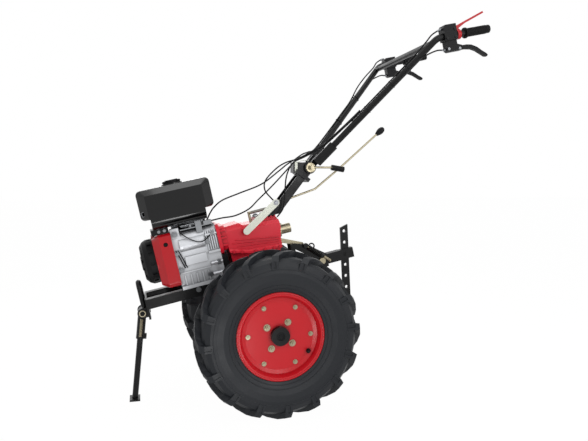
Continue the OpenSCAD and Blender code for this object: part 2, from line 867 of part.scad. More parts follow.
module arm_post() {
    z0 = case_top_at(post_pt[0]) + seat_gap;
    top = [post_pt[0], post_pt[1] + 4, z0 + post_h - 6];
    hook = arm_low + (arm_top - arm_low) * 0.82 - [0, turn_gap, 0];
    color(zinc) chassis() {
        translate([post_pt[0], post_pt[1], z0]) cylinder(d = 11, h = post_h);
        bar(top, hook - [0, 8, 0], 11);
        translate(hook) rod_y(7, -8, 0);
    }
}

col_w = 36;
col_y = 35;
col_base = [-145, 0, case_top_r + 21];
col_top = tilt + [46, 0, -32];
col_tilt = atan2(col_top[0] - col_base[0], col_top[2] - col_base[2]);
col_l = norm(col_top - col_base);
col_t = 5;
col_below = 70;
base_l = 84;
base_w = 100;
base_t = 7;

module column() {
    color(black_paint) difference() {
        union() {
            chassis() translate(col_base) rotate([0, col_tilt, 0]) difference() {
                translate([-col_w / 2, -col_y, -col_below]) cube([col_w, 2 * col_y, col_l + col_below]);
                translate([-col_w / 2 + col_t, -col_y + col_t, -col_below - 10])
                    cube([col_w, 2 * (col_y - col_t), col_l + col_below + 10 - col_t]);
            }
            case_top_place() translate([0, -base_w / 2, cover_h + turn_gap]) cube([base_l, base_w, base_t]);
        }
        case_top_place() translate([-col_l, -base_w, cover_h + turn_gap - col_l])
            cube([2 * col_l, 2 * base_w, col_l]);
    }
}

head_r = 27;
head_y = 30;
block_l = 72;
block_h = 44;

module column_head() {
    flange_t = 16;
    color(black_paint) chassis() difference() {
        union() {
            translate(col_top) rotate([0, col_tilt, 0]) translate([-36, -42, turn_gap])
                cube([72, 84, flange_t]);
            translate(tilt) rod_y(2 * head_r, -head_y, head_y);
            translate(tilt) rotate([0, -parked_pitch, 0]) translate([0, 3 - head_y, -block_h / 2])
                cube([block_l, 2 * head_y - 6, block_h]);
            translate(col_top) rotate([0, col_tilt, 0]) translate([-24, -head_y + 3, flange_t - 1])
                cube([48, 2 * head_y - 6, 38]);
        }
        translate(tilt) rod_y(pin_d + 2 * pin_gap, -head_y - 1, head_y + 1);
    }
}

yoke_t = 11;
yoke_r = 25;
washer_t = 6;

module clamp_bolt() {
    teeth = 20;
    y1 = head_y + turn_gap + yoke_t + turn_gap;
    lever_y = y1 + washer_t + 13;
    grip_0 = [-86, lever_y, -19];
    grip_1 = [-137, lever_y, -39];
    color(zinc) chassis() translate(tilt) {
        rod_y(pin_d, -y1 - washer_t - 8, lever_y + 8);
        for (s = [0, 1]) mirror([0, s, 0]) {
            rod_y(38, y1, y1 + washer_t);
            for (i = [0:teeth - 1])
                rotate([0, i * 360 / teeth, 0]) translate([18, y1, -1.5]) cube([3, washer_t, 3]);
            translate([0, y1 + washer_t, 0]) rod_y(24, 0, 8, $fn = 6);
        }
        bar([0, lever_y, 0], grip_0, 9);
        bar(grip_0, grip_1, 23);
    }
}

shift_d = 9;
rod_z = case_top_r + 68;
rod_drop = (col_w / 2 + turn_gap) / cos(col_tilt) - shift_d / 2 * tan(col_tilt);
rod_x0 = col_base[0] + (rod_z - col_base[2]) * tan(col_tilt) - rod_drop;
rod_route = [
    [rod_x0, 0, rod_z], tilt + [-11, 0, -97], tilt + [-154, 0, -25], tilt + [-326, 0, 69], tilt + [-371, 0, 93]
];

module shift_rod() {
    color(zinc) chassis() bent_bar(rod_route, shift_d, 22, 10, 3);
}

knob_l = 44;
knob_d = 29;
knob_over = 10;

module shift_knob() {
    bore_r = shift_d / 2 + pin_gap;
    tip = along(rod_route[4], rod_route[3], -knob_over);
    v = unit(rod_route[3] - rod_route[4]);
    color(black_plastic) chassis() translate(tip) rotate([0, acos(v[2]), atan2(v[1], v[0])])
        rotate_extrude() polygon([
            [0, 0], [knob_d * 0.24, 0], [knob_d * 0.43, knob_l * 0.16], [knob_d / 2, knob_l * 0.42],
            [knob_d * 0.46, knob_l * 0.64], [knob_d * 0.34, knob_l * 0.86], [knob_d * 0.27, knob_l],
            [bore_r, knob_l], [bore_r, knob_over - pin_gap], [0, knob_over - pin_gap]
        ]);
}

// Hitch

hitch_z = 172;
beam_x0 = -300;

module hitch_bracket() {
    t = 10;
    gap = beam_s / 2 + turn_gap;
    seat_z = 236;
    stay_x = -case_rear - 34;
    stay_z = 276;
    end_x = beam_x0 - 34;
    low_z = hitch_z - 30;
    color(black_paint) chassis() for (s = [0, 1]) mirror([0, s, 0])
        plate_y(gap, gap + t) difference() {
            polygon([
                [lower_rear(seat_z) - 2 * turn_gap, seat_z], [stay_x, seat_z], [stay_x, stay_z],
                [stay_x - 18, stay_z], [stay_x - 72, stay_z - 18], [end_x, hitch_z + 26], [end_x, low_z],
                [beam_x0 + 10, low_z], [lower_rear(200) - 2 * turn_gap, 200]
            ]);
            polygon([
                [stay_x - 18, stay_z - 26], [stay_x - 18, seat_z - 40],
                [stay_x - 66, seat_z - 40], [stay_x - 66, seat_z - 24]
            ]);
            translate([beam_x0 - 8, hitch_z]) circle(d = hitch_pin_d + 2 * pin_gap);
        }
}

module hitch_beam() {
    color(black_paint) chassis() difference() {
        translate([-beam_rear, -beam_s / 2, hitch_z - beam_s / 2])
            cube([beam_rear + beam_x0 + 12, beam_s, beam_s]);
        translate([beam_x0 - 8, 0, hitch_z]) rod_y(hitch_pin_d + 2 * pin_gap, -beam_s, beam_s);
    }
}

module hitch_pin() {
    reach = beam_s / 2 + 10 + turn_gap + pin_gap;
    color(zinc) chassis() translate([beam_x0 - 8, 0, hitch_z]) {
        rod_y(hitch_pin_d, -reach - 8, reach + 8);
        rod_y(28, reach, reach + 8);
        translate([0, -reach - 8, 0]) rod_y(28, 0, 8);
    }
}

bar_lean = parked_pitch - 3;
bar_center = [-beam_rear - bar_w / 2 - turn_gap - 6, 0, hitch_z];
bar_above = 130;

module bar_place() {
    chassis() translate(bar_center) rotate([0, -bar_lean, 0]) children();
}

module depth_bar() {
    holes = floor((bar_l - 20) / bar_pitch);
    color(black_paint) bar_place() plate_y(-bar_t / 2, bar_t / 2) difference() {
        polygon([
            [-bar_w / 2, bar_above - bar_l], [bar_w / 2, bar_above - bar_l],
            [bar_w / 2, bar_above - 14], [-bar_w / 2, bar_above]
        ]);
        for (i = [0:holes - 1])
            translate([0, bar_above - 22 - bar_hole_d / 2 - i * bar_pitch]) circle(d = bar_hole_d);
    }
}

module bar_clamp() {
    t = 8;
    w = bar_w + 18;
    color(black_paint) chassis() difference() {
        translate([-beam_rear - w - 8, -bar_t / 2 - t - turn_gap, hitch_z - beam_s / 2])
            cube([w + 8 - turn_gap, bar_t + 2 * t + 2 * turn_gap, beam_s]);
        translate(bar_center) rotate([0, -bar_lean, 0])
            translate([-bar_w / 2 - turn_gap, -bar_t / 2 - turn_gap, -bar_l])
                cube([bar_w + 2 * turn_gap, bar_t + 2 * turn_gap, 2 * bar_l]);
    }
}

// Wheels

carcass_r = tyre_r - lug_h;
bead_r = rim_r - 10;
bead_y = rim_w / 2 - 8;
half_w = tyre_w / 2;

// Half of the tyre's section as [radius, y] from bead to crown
function tyre_half() = let (h = carcass_r - rim_r) [
    [bead_r + turn_gap, bead_y - turn_gap], [rim_r + turn_gap, bead_y - turn_gap],
    [rim_r + 2, rim_w / 2], [rim_r + h * 0.16, half_w - 9], [rim_r + h * 0.38, half_w - 1],
    [rim_r + h * 0.56, half_w], [rim_r + h * 0.75, half_w - 3], [rim_r + h * 0.88, half_w - 10],
    [rim_r + h * 0.97, half_w - 24], [carcass_r, half_w - 46], [carcass_r, 0]
];

// Stations along one lug as [y, radius, angle back, half width]
function lug_stations() = [
    [half_w - 1, carcass_r - 40, lug_sweep * 1.0, 14],
    [half_w - 1, carcass_r - 10, lug_sweep * 0.98, 14],
    [half_w - 8, tyre_r - 12, lug_sweep * 0.92, 13],
    [half_w - 30, tyre_r - 3, lug_sweep * 0.66, 12],
    [half_w * 0.28, tyre_r, lug_sweep * 0.28, 11],
    [-4, tyre_r, 0, 11]
];
function lug_base(i) = carcass_r - [44, 34, 30, 14, 10, 10][i];
function lug_base_y(i) = [half_w - 16, half_w - 18, half_w - 26, half_w - 38, half_w * 0.28, -4][i];
function spin_pt(r, a, y) = [r * cos(a), y, r * sin(a)];
lug_draft = 3;
function lug_ring(i, s, at) =
    let (q = lug_stations()[i], top = q[3] / q[1] * 57.3, low = (q[3] + lug_draft) / q[1] * 57.3, a = at - q[2])
    [
        spin_pt(q[1], a - top, s * q[0]), spin_pt(q[1], a + top, s * q[0]),
        spin_pt(lug_base(i), a + low, s * lug_base_y(i)), spin_pt(lug_base(i), a - low, s * lug_base_y(i))
    ];
function lug_faces(n, at, flip) = let (
    quads = concat(
        [for (i = [0:n - 2]) for (k = [0:3])
            [at + i * 4 + k, at + i * 4 + (k + 1) % 4, at + (i + 1) * 4 + (k + 1) % 4, at + (i + 1) * 4 + k]],
        [[at + 3, at + 2, at + 1, at], [for (k = [0:3]) at + (n - 1) * 4 + k]]
    )
) flip ? [for (q = quads) [q[3], q[2], q[1], q[0]]] : quads;

module lugs() {
    n = len(lug_stations());
    count = 2 * lug_count;
    pts = [
        for (j = [0:count - 1]) for (i = [0:n - 1])
            each lug_ring(i, j % 2 == 0 ? -1 : 1, j * 360 / count)
    ];
    faces = [for (j = [0:count - 1]) each lug_faces(n, j * n * 4, j % 2 == 1)];
    polyhedron(pts, faces, convexity = 10);
}

notch_d = 3;
notch_w = 10;
notch_l = 26;

// Slots across the ends of the lugs on both sidewalls
module lug_notches() {
    count = 2 * lug_count;
    for (j = [0:count - 1]) {
        s = j % 2 == 0 ? -1 : 1;
        rotate([0, lug_sweep - j * 360 / count, 0])
            translate([carcass_r - 36, s * (half_w - 1 - notch_d / 2 + 0.5) - (notch_d + 1) / 2, -notch_w / 2])
                cube([notch_l, notch_d + 1, notch_w]);
    }
}

module tyre(side) {
    half = tyre_half();
    n = len(half);
    color(rubber) wheel(side) difference() {
        union() {
            spun_y(concat(half, [for (i = [n - 2:-1:0]) [half[i][0], -half[i][1]]]));
            lugs();
        }
        lug_notches();
    }
}

disc_y = 34;
disc_t = 6;

rim_t = 5;

module rim(side) {
    well_r = bead_r - 22;
    bolt_r = rim_bolt_circle / 2;
    color(red_paint) wheel(side) difference() {
        spun_y([
            [rim_r, rim_w / 2], [rim_r, bead_y], [bead_r, bead_y], [bead_r, 30], [well_r, 12], [well_r, -12],
            [bead_r, -30], [bead_r, -bead_y], [rim_r, -bead_y], [rim_r, -rim_w / 2],
            [bead_r - rim_t, -rim_w / 2], [bead_r - rim_t, -32], [well_r - rim_t, -14], [well_r - rim_t, 14],
            [bead_r - 14, disc_y - 6], [bolt_r + 12, disc_y], [hub_d / 2 + turn_gap, disc_y],
            [hub_d / 2 + turn_gap, disc_y + disc_t], [bolt_r + 10, disc_y + disc_t], [bead_r - 14, disc_y + 12],
            [bead_r - 9, bead_y], [bead_r - 4, rim_w / 2]
        ]);
        for (i = [0:3]) rotate([0, 57 + i * 90, 0]) translate([hub_bolt_circle / 2, 0, 0])
            rod_y(11, disc_y - 1, disc_y + disc_t + 1);
    }
}

hub_flange_d = 152;
hub_in = -120;

module hub(side) {
    color(black_paint) wheel(side) difference() {
        union() {
            rod_y(hub_d, disc_y - 10, disc_y + disc_t + 22);
            rod_y(hub_flange_d, disc_y - 10 - turn_gap, disc_y - turn_gap);
            rod_y(56, hub_in, disc_y - 9);
        }
        rod_y(axle_d + 2 * pin_gap, hub_in - 1, disc_y + disc_t + 30);
    }
}

module axle(side) {
    color(steel) wheel(side) rod_y(axle_d, lower_y - half_track - 18, disc_y + disc_t - 6);
}

// Handlebar

handle_angle = atan2(bend_pt[2] - handle_start[2], bend_pt[0] - handle_start[0]);
socket_l = 128;
bend_r = 50;
cross_d = 24;

module handle_yoke() {
    y0 = head_y + turn_gap;
    color(black_paint) chassis() for (s = [0, 1]) mirror([0, s, 0]) difference() {
        union() {
            plate_y(y0, y0 + yoke_t) translate([tilt[0], tilt[2]]) {
                circle(yoke_r);
                rotate(handle_angle) translate([0, -14]) square([62, 28]);
            }
            bar(along(handle_start, bend_pt, 26), along(handle_start, bend_pt, socket_l), socket_d);
        }
        translate(tilt) rod_y(pin_d + 2 * pin_gap, y0 - 1, y0 + yoke_t + 1);
        bar(along(handle_start, bend_pt, 46), along(handle_start, bend_pt, socket_l + 10),
            handle_d + 2 * pin_gap);
    }
}

module handlebar() {
    start = along(handle_start, bend_pt, 48);
    color(black_paint) chassis() {
        for (s = [0, 1]) mirror([0, s, 0])
            bent_bar([start, bend_pt, grip_end], handle_d, bend_r);
        cross_pt = along(bend_pt, handle_start, 28);
        bar([cross_pt[0], -cross_pt[1], cross_pt[2]], cross_pt, cross_d);
    }
}

module grip() {
    a = along(grip_end, bend_pt, -1);
    b = along(grip_end, bend_pt, grip_l);
    color(rubber) chassis() difference() {
        union() {
            bar(a, b, grip_d);
            bar(along(b, a, 0), along(b, a, 6), grip_d + 10);
        }
        bar(along(grip_end, bend_pt, -0.01), along(grip_end, bend_pt, grip_l + 10), handle_d + 2 * pin_gap);
    }
}

module grip_left() { grip(); }
module grip_right() { mirror([0, 1, 0]) grip(); }

// Distances from the grip's end to the stop lever's ring and the switch block
stop_at = grip_l + 26;
box_at = grip_l + 48;
box_l = 56;
perch_drop = 64;
lever_t = 14;

// Switch block over the tube, the perch under it and the curved lever under the grip
module control_block(top) {
    c = along(grip_end, bend_pt, box_at + box_l / 2);
    color(black_plastic) chassis() {
        difference() {
            union() {
                translate(c) plate_y(-23, 23) polygon([
                    [-box_l / 2, -20], [box_l / 2, -20], [box_l / 2, top - 10],
                    [box_l / 2 - 8, top], [-box_l / 2, top]
                ]);
                translate(c) plate_y(-16, 16) polygon([
                    [box_l / 2 - 4, -19], [box_l / 2 - 4, -perch_drop + 6], [box_l / 2 - 12, -perch_drop],
                    [-box_l / 2 - 16, -perch_drop], [-box_l / 2 - 16, -perch_drop + 18],
                    [-box_l / 2 + 4, -perch_drop + 26], [-box_l / 2 + 4, -19]
                ]);
            }
            bar(along(c, bend_pt, -box_l), along(c, bend_pt, box_l), handle_d + 2 * pin_gap);
        }
        translate([grip_end[0], 0, grip_end[2]]) plate_y(grip_y + 6, grip_y + 6 + lever_t) polygon([
            [box_at - 8, -48], [grip_l + 4, -48], [grip_l - 18, -52], [grip_l - 42, -65], [grip_l - 62, -83],
            [grip_l - 80, -97], [grip_l - 85, -104], [grip_l - 80, -110], [grip_l - 70, -108],
            [grip_l - 54, -95], [grip_l - 34, -79], [grip_l - 14, -69], [grip_l + 10, -65], [box_at - 8, -63]
        ]);
    }
}

module left_controls() { control_block(42); }
module right_controls() { mirror([0, 1, 0]) control_block(29); }

module stop_lever() {
    c = along(grip_end, bend_pt, stop_at);
    ring_l = 16;
    color(red_paint) chassis() difference() {
        union() {
            bar(c, along(c, bend_pt, ring_l), handle_d + 14);
            translate(c) plate_y(-6, 6) polygon([
                [ring_l - 1, 16], [ring_l - 1, 34], [2, 36], [-30, 46], [-120, 73],
                [-123, 66], [-32, 38], [-2, 24], [1, 16]
            ]);
        }
        bar(along(c, bend_pt, -ring_l), along(c, bend_pt, 2 * ring_l), handle_d + 2 * pin_gap);
    }
}

// Cables

clutch_route = [
    tilt + [67.4, 43.4, 46.4], tilt + [106, 46, 43], tilt + [151, 48, 27], tilt + [205, 50, -10],
    tilt + [219, 58, -49], tilt + [205, 84, -87], arm_top + [1, -8, 5], arm_top + [0, -0.4, 1]
];
throttle_route = [
    tilt + [65.9, 36.8, 46.2], tilt + [101, 34, 33], tilt + [141, 32, 13], tilt + [225, 40, -23],
    [-13, 50, 540], [60, 52, 528], [100, 55, 508], [122, 58, case_top + 40],
    [138, 61, case_top + 20], [150, 62, case_top + 8]
];
governor_route = [
    tilt + [65.1, 36.8, 39.6], tilt + [105, 38, 11], tilt + [182, 44, -40], tilt + [257, 60, -83],
    [-34, 84, case_top_r + 70], [26, 80, case_top_r + 56], [80, 79, case_top + 11],
    [110, 78, case_top + 11], [engine_x + 7.6, 78, case_top + 11]
];
gear_route = [
    tilt + [67, 43.4, 39.6], tilt + [95, 54, 17], tilt + [119, 60, -19], tilt + [139, 62, -79],
    tilt + [159, 62, -139], [2 - case_rear, 61, case_top_r + 8]
];
bundle_route = [
    tilt + [65, 40, 43], tilt + [1, 52, 58], tilt + [-55, 72, 76],
    tilt + [-91, 89, 96], tilt + [-165, 123, 143], tilt + [-227, 152, 188]
];

module cable_clutch() { color(black_plastic) chassis() cable(clutch_route, 6); }
module cable_throttle() { color(black_plastic) chassis() cable(throttle_route, 5); }
module cable_governor() { color(black_plastic) chassis() cable(governor_route, 5); }
module cable_gear() { color(black_plastic) chassis() cable(gear_route, 6); }
module cable_bundle() { color(black_plastic) chassis() cable(bundle_route, 14); }

module tyre_left() { tyre(1); }
module rim_left() { rim(1); }
module hub_left() { hub(1); }
module axle_left() { axle(1); }
module tyre_right() { tyre(-1); }
module rim_right() { rim(-1); }
module hub_right() { hub(-1); }
module axle_right() { axle(-1); }

frame();
bumper_hoop();
stand_pin();
stand_leg();
stand_spring();
crankcase();
crankcase_cover();
fan_shroud();
recoil_starter();
fuel_tank();
fuel_cap();
governor();
tank_bracket();
cylinder_block();
valve_cover();
muffler();
air_cleaner();
clutch_housing();
gear_case();
case_cover();
pto_cap();
case_tongue();
clutch_arm();
arm_post();
column();
column_head();
clamp_bolt();
shift_rod();
shift_knob();
hitch_bracket();
hitch_beam();
hitch_pin();
depth_bar();
bar_clamp();
tyre_left();
rim_left();
hub_left();
axle_left();
tyre_right();
rim_right();
hub_right();
axle_right();
handle_yoke();
handlebar();
grip_left();
grip_right();
left_controls();
right_controls();
stop_lever();
cable_clutch();
cable_throttle();
cable_governor();
cable_gear();
cable_bundle();
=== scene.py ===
# %% [markdown]
# # A walking tractor
# The solids of the tractor come from its CAD model: engine, gear case, wheels, hitch and handlebar.
# This lesson gives them their looks. It paints each solid with the finish of the real piece and
# adds the small things that a solid model leaves out, such as bolts, springs and ribs.

# %% Load the solids
import json
import math

import bpy
from mathutils import Matrix, Vector
from mathutils.geometry import convex_hull_2d


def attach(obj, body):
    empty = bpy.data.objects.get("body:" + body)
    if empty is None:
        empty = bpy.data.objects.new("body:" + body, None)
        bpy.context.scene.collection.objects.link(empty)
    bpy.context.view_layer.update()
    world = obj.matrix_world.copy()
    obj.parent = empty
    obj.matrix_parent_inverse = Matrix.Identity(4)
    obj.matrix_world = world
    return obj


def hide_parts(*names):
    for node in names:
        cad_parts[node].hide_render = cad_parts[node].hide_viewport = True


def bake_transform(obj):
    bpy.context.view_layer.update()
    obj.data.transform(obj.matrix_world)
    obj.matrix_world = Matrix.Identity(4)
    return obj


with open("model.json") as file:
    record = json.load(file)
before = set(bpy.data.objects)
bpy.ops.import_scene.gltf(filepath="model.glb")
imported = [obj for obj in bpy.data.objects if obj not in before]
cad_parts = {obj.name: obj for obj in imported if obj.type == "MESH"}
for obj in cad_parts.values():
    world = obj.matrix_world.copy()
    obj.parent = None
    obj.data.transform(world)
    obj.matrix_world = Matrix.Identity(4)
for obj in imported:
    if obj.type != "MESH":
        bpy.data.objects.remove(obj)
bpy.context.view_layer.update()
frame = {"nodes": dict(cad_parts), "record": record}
nodes = frame["nodes"]
record = frame["record"]
joints = {joint["name"]: joint for joint in record["behaviour"]["joints"]}
scene = bpy.context.scene
AXLE_HEIGHT = 0.32
AXLE = Vector((joints["wheel_left_spin"]["pos_m"][0], 0, AXLE_HEIGHT))

# %% [markdown]
# ## Camera
# The photograph was taken from the machine's left, a little ahead of it and at about grip height.
# A camera can be aimed by eye, but here its place and aim were solved from the wheel, the stand's
# foot and the grips, so they are written down as they came out. The lens follows from the focal
# length in pixels and the picture's width.

# %% Camera
IMAGE_WIDTH = 588
FOCAL_PIXELS = 604
SENSOR_MM = 36
CAMERA_PLACE = Vector((0.6754, 2.538, 0.895))
CAMERA_AIM = Vector((-0.2465, -0.9671, -0.0628))


def facing(direction):
    """A turn whose Z axis looks back along a direction, with X level."""
    back = -direction.normalized()
    right = Vector((0, 0, 1)).cross(back).normalized()
    return Matrix((right, back.cross(right), back)).transposed().to_4x4()


camera = bpy.data.objects.new("camera", bpy.data.cameras.new("camera"))
camera.data.sensor_fit = "HORIZONTAL"
camera.data.sensor_width = SENSOR_MM
camera.data.lens = FOCAL_PIXELS / IMAGE_WIDTH * SENSOR_MM
camera.matrix_world = Matrix.Translation(CAMERA_PLACE) @ facing(CAMERA_AIM)
scene.collection.objects.link(camera)
scene.camera = camera
print("lens:", round(camera.data.lens, 2), "mm")

# %% [markdown]
# ## One way to add a node
# Materials and Geometry Nodes are both trees of nodes. One small function adds a node, sets its
# properties and fills its inputs: an input that is given a socket is linked, and any other value is
# written on the input itself. Colours are written as sRGB hex values, as a paint program shows
# them, and a second function turns them to the linear values that Blender computes with.

# %% Node and colour helpers


def add(tree, kind, inputs=None, **settings):
    """Adds a node, with its settings and with its inputs linked or set."""
    node = tree.nodes.new(kind)
    for name, value in settings.items():
        setattr(node, name, value)
    for name, value in (inputs or {}).items():
        if isinstance(value, bpy.types.NodeSocket):
            tree.links.new(value, node.inputs[name])
        else:
            node.inputs[name].default_value = value
    return node


def linear(hex_colour):
    """An sRGB hex colour as linear RGBA."""
    parts = [int(hex_colour[i:i + 2], 16) / 255 for i in (1, 3, 5)]
    return [c / 12.92 if c <= 0.04045 else ((c + 0.055) / 1.055) ** 2.4 for c in parts] + [1.0]


print("linear of a mid grey:", round(linear("#808080")[0], 3))

# %% [markdown]
# ## Studio
# The picture is a catalogue shot on white. More light would bleach the paint, so the white is in
# what is looked at: the world is white where the camera or a reflection sees it and a softer grey
# where it lights the machine, and the floor glows in the same way but keeps a faint shadow.

# %% World and floor
WORLD_LIGHT = 0.5
FLOOR_SIZE = 60.0
FLOOR_GLOW = 1.012
FLOOR_SHARE = 0.97  # of the glow in what is seen, the rest is matt and takes the shadow
WHITE = linear("#ffffff")


def seen_directly(tree):
    """1 for rays from the camera, a mirror-like surface or glass, 0 for rays that only light."""
    path = add(tree, "ShaderNodeLightPath").outputs
    mirror = add(tree, "ShaderNodeMath", {0: path["Is Camera Ray"], 1: path["Is Glossy Ray"]},
                 operation="MAXIMUM")
    seen = add(tree, "ShaderNodeMath", {0: mirror.outputs[0], 1: path["Is Transmission Ray"]},
               operation="MAXIMUM")
    return seen.outputs[0]


def studio_world():
    """A world that is white to look at and grey as a light."""
    world = bpy.data.worlds.new("studio")
    world.use_nodes = True
    tree = world.node_tree
    tree.nodes.clear()
    shown = add(tree, "ShaderNodeBackground", {"Color": WHITE, "Strength": 1.0})
    lighting = add(tree, "ShaderNodeBackground", {"Color": WHITE, "Strength": WORLD_LIGHT})
    both = add(tree, "ShaderNodeMixShader",
               {0: seen_directly(tree), 1: lighting.outputs[0], 2: shown.outputs[0]})
    add(tree, "ShaderNodeOutputWorld", {"Surface": both.outputs[0]})
    return world


def studio_floor():
    """A pale floor that glows for the camera and keeps a little of the machine's shadow."""
    half = FLOOR_SIZE / 2
    mesh = bpy.data.meshes.new("floor")
    mesh.from_pydata([(-half, -half, 0), (half, -half, 0), (half, half, 0), (-half, half, 0)],
                     [], [(0, 1, 2, 3)])
    floor = bpy.data.objects.new("floor", mesh)
    scene.collection.objects.link(floor)
    material = bpy.data.materials.new("pale studio floor")
    material.use_nodes = True
    tree = material.node_tree
    tree.nodes.clear()
    matt = add(tree, "ShaderNodeBsdfDiffuse", {"Color": linear("#f2f2f0")})
    glow = add(tree, "ShaderNodeEmission", {"Color": WHITE, "Strength": FLOOR_GLOW})
    share = add(tree, "ShaderNodeMath", {0: seen_directly(tree), 1: FLOOR_SHARE},
                operation="MULTIPLY")
    both = add(tree, "ShaderNodeMixShader",
               {0: share.outputs[0], 1: matt.outputs[0], 2: glow.outputs[0]})
    add(tree, "ShaderNodeOutputMaterial", {"Surface": both.outputs[0]})
    mesh.materials.append(material)


scene.world = studio_world()
scene.view_settings.view_transform = "Standard"
studio_floor()
print("world:", scene.world.name, "and a floor of", FLOOR_SIZE, "m")

# %% [markdown]
# Large square lamps stand in for softboxes. The key stands to the right of the camera, so the gear
# case and the column get its sheen. A narrow one lights the column's face, and a small one near the
# floor gives the glints on tank, rim and tyre.

# %% Lamps
LAMPS = {  # name: place, point that it looks at, size in metres, power in watts
    "key": ((-0.9, 2.7, 1.9), (0.1, 0, 0.6), 1.6, 20),
    "fill": ((1.8, 2.4, 2.2), (0.2, 0, 0.6), 1.6, 8),
    "side": ((-2.2, 1.8, 1.6), (0.1, 0, 0.7), 1.4, 10),
    "top": ((0.1, -0.6, 3.2), (0.1, 0, 0.5), 2.0, 22),
    "column": ((-0.62, 2.65, 0.98), (0, 0.05, 0.88), 0.5, 5),
    "far": ((0.3, -2.6, 1.8), (0.1, 0, 0.6), 1.6, 14),
    "low": ((0.36, 1.05, 0.1), (0.45, 0.15, 0.7), 0.22, 1.6),
}
for name, (place, aim, size, power) in LAMPS.items():
    lamp = bpy.data.objects.new(name, bpy.data.lights.new(name, "AREA"))
    lamp.data.shape = "SQUARE"
    lamp.data.size = size
    lamp.data.energy = power
    lamp.matrix_world = Matrix.Translation(place) @ facing(Vector(aim) - Vector(place))
    scene.collection.objects.link(lamp)
print("lamps:", list(LAMPS))

# %% [markdown]
# ## What a finish is made of
# Each finish starts from what the real surface is: a Principled shader with its colour, gloss and
# metal, and then what its making leaves on it. Castings and moulded pieces have a grain, drawn as
# bump. The true grain is too fine to show at this distance, so it is drawn two to four millimetres
# wide. Gloss is never quite even, so the roughness wanders. Textures could be painted for this, but
# noise in the piece's own coordinates needs no map. Some finishes also get painted shade: ambient
# occlusion darkens their colour where surfaces meet.

# %% Finish helpers
finishes = {}


def finish(name, colour, roughness, metallic=0.0, sockets=None):
    """A new material and its tree, with one Principled shader for the given finish."""
    material = bpy.data.materials.new(name)
    material.use_nodes = True
    tree = material.node_tree
    shader = tree.nodes["Principled BSDF"]
    shader.inputs["Base Color"].default_value = linear(colour)
    shader.inputs["Roughness"].default_value = roughness
    shader.inputs["Metallic"].default_value = metallic
    for socket, value in (sockets or {}).items():
        shader.inputs[socket].default_value = value
    return material, tree, shader


def grain(tree, shader, size_mm, depth_mm, strength):
    """Bump of a grain of a given size, in the piece's own coordinates."""
    place = add(tree, "ShaderNodeTexCoord")
    noise = add(tree, "ShaderNodeTexNoise",
                {"Vector": place.outputs["Object"], "Scale": 1000 / size_mm,
                 "Detail": 2.0, "Roughness": 0.6})
    bump = add(tree, "ShaderNodeBump", {"Height": noise.outputs["Fac"], "Strength": strength,
                                        "Distance": depth_mm / 1000})
    tree.links.new(bump.outputs["Normal"], shader.inputs["Normal"])


def uneven(tree, shader, size_mm, low, high):
    """Roughness that wanders between two values over patches of a given size."""
    place = add(tree, "ShaderNodeTexCoord")
    noise = add(tree, "ShaderNodeTexNoise", {"Vector": place.outputs["Object"],
                                             "Scale": 1000 / size_mm, "Detail": 3.0})
    span = add(tree, "ShaderNodeMapRange",
               {"Value": noise.outputs["Fac"], "From Min": 0.3, "From Max": 0.7,
                "To Min": low, "To Max": high})
    tree.links.new(span.outputs["Result"], shader.inputs["Roughness"])


def painted_corner_shade(tree, shader, colour, shade_colour, reach_mm):
    """Painted shade: the colour goes darker where surfaces close in on each other, by ambient
    occlusion.
    """
    # Painted shade: ambient occlusion mixes the colour towards a darker one in corners and recesses.
    near = add(tree, "ShaderNodeAmbientOcclusion", {"Distance": reach_mm / 1000}, samples=8)
    mix = add(tree, "ShaderNodeMix",
              {"Factor": near.outputs["AO"], 6: linear(shade_colour), 7: linear(colour)},
              data_type="RGBA")
    tree.links.new(mix.outputs[2], shader.inputs["Base Color"])


print("finish helpers ready")

# %% [markdown]
# ## Paints
# Enamel and powder coat are coloured plastics over metal: not metallic, with a clear gloss. The
# frame and the tubes are powder coated, which leaves a faint orange peel. The tank and the red
# covers are sprayed, so they are smoother and get a thin clear coat. The gear case has the same red
# over cast iron, where the grain of the sand mould shows through; its red is also painted lighter,
# as painted light for the strong light on its side. Both reds get painted shade in their corners.

# %% Paints


def black_powder_coat():
    # Baked powder over steel tube: black with a broad soft gloss and a faint orange peel.
    material, tree, shader = finish("black powder coat", "#09090a", 0.36,
                                    sockets={"Specular IOR Level": 0.22})
    grain(tree, shader, 4, 0.05, 0.25)
    uneven(tree, shader, 40, 0.3, 0.44)
    return material


def tank_enamel():
    # Sprayed enamel on a pressed tank: deep black with a sharp clear gloss.
    material, tree, shader = finish(
        "black tank enamel", "#050506", 0.14,
        sockets={"Specular IOR Level": 0.28, "Coat Weight": 0.12, "Coat Roughness": 0.05})
    uneven(tree, shader, 120, 0.1, 0.18)
    return material


def red_enamel():
    # Sprayed enamel on pressed steel: a bright red with an even gloss.
    red = "#b20c19"
    material, tree, shader = finish(
        "red enamel", red, 0.34,
        sockets={"Specular IOR Level": 0.28, "Coat Weight": 0.1, "Coat Roughness": 0.15})
    # Painted shade: the red goes darker in corners and where parts meet.
    painted_corner_shade(tree, shader, red, "#4a060b", 14)
    uneven(tree, shader, 60, 0.28, 0.4)
    return material


def red_cast_enamel():
    # The same red over sand-cast iron, whose grain shows through. Its colour is painted lighter
    # than the covers' red, as painted light for the strong light on the case's side.
    red = "#da1c32"
    material, tree, shader = finish(
        "red enamel on cast iron", red, 0.36,
        sockets={"Specular IOR Level": 0.3, "Coat Weight": 0.08, "Coat Roughness": 0.2})
    # Painted shade: the red goes darker in corners and where parts meet.
    painted_corner_shade(tree, shader, red, "#5c0910", 12)
    grain(tree, shader, 3, 0.25, 0.35)
    return material


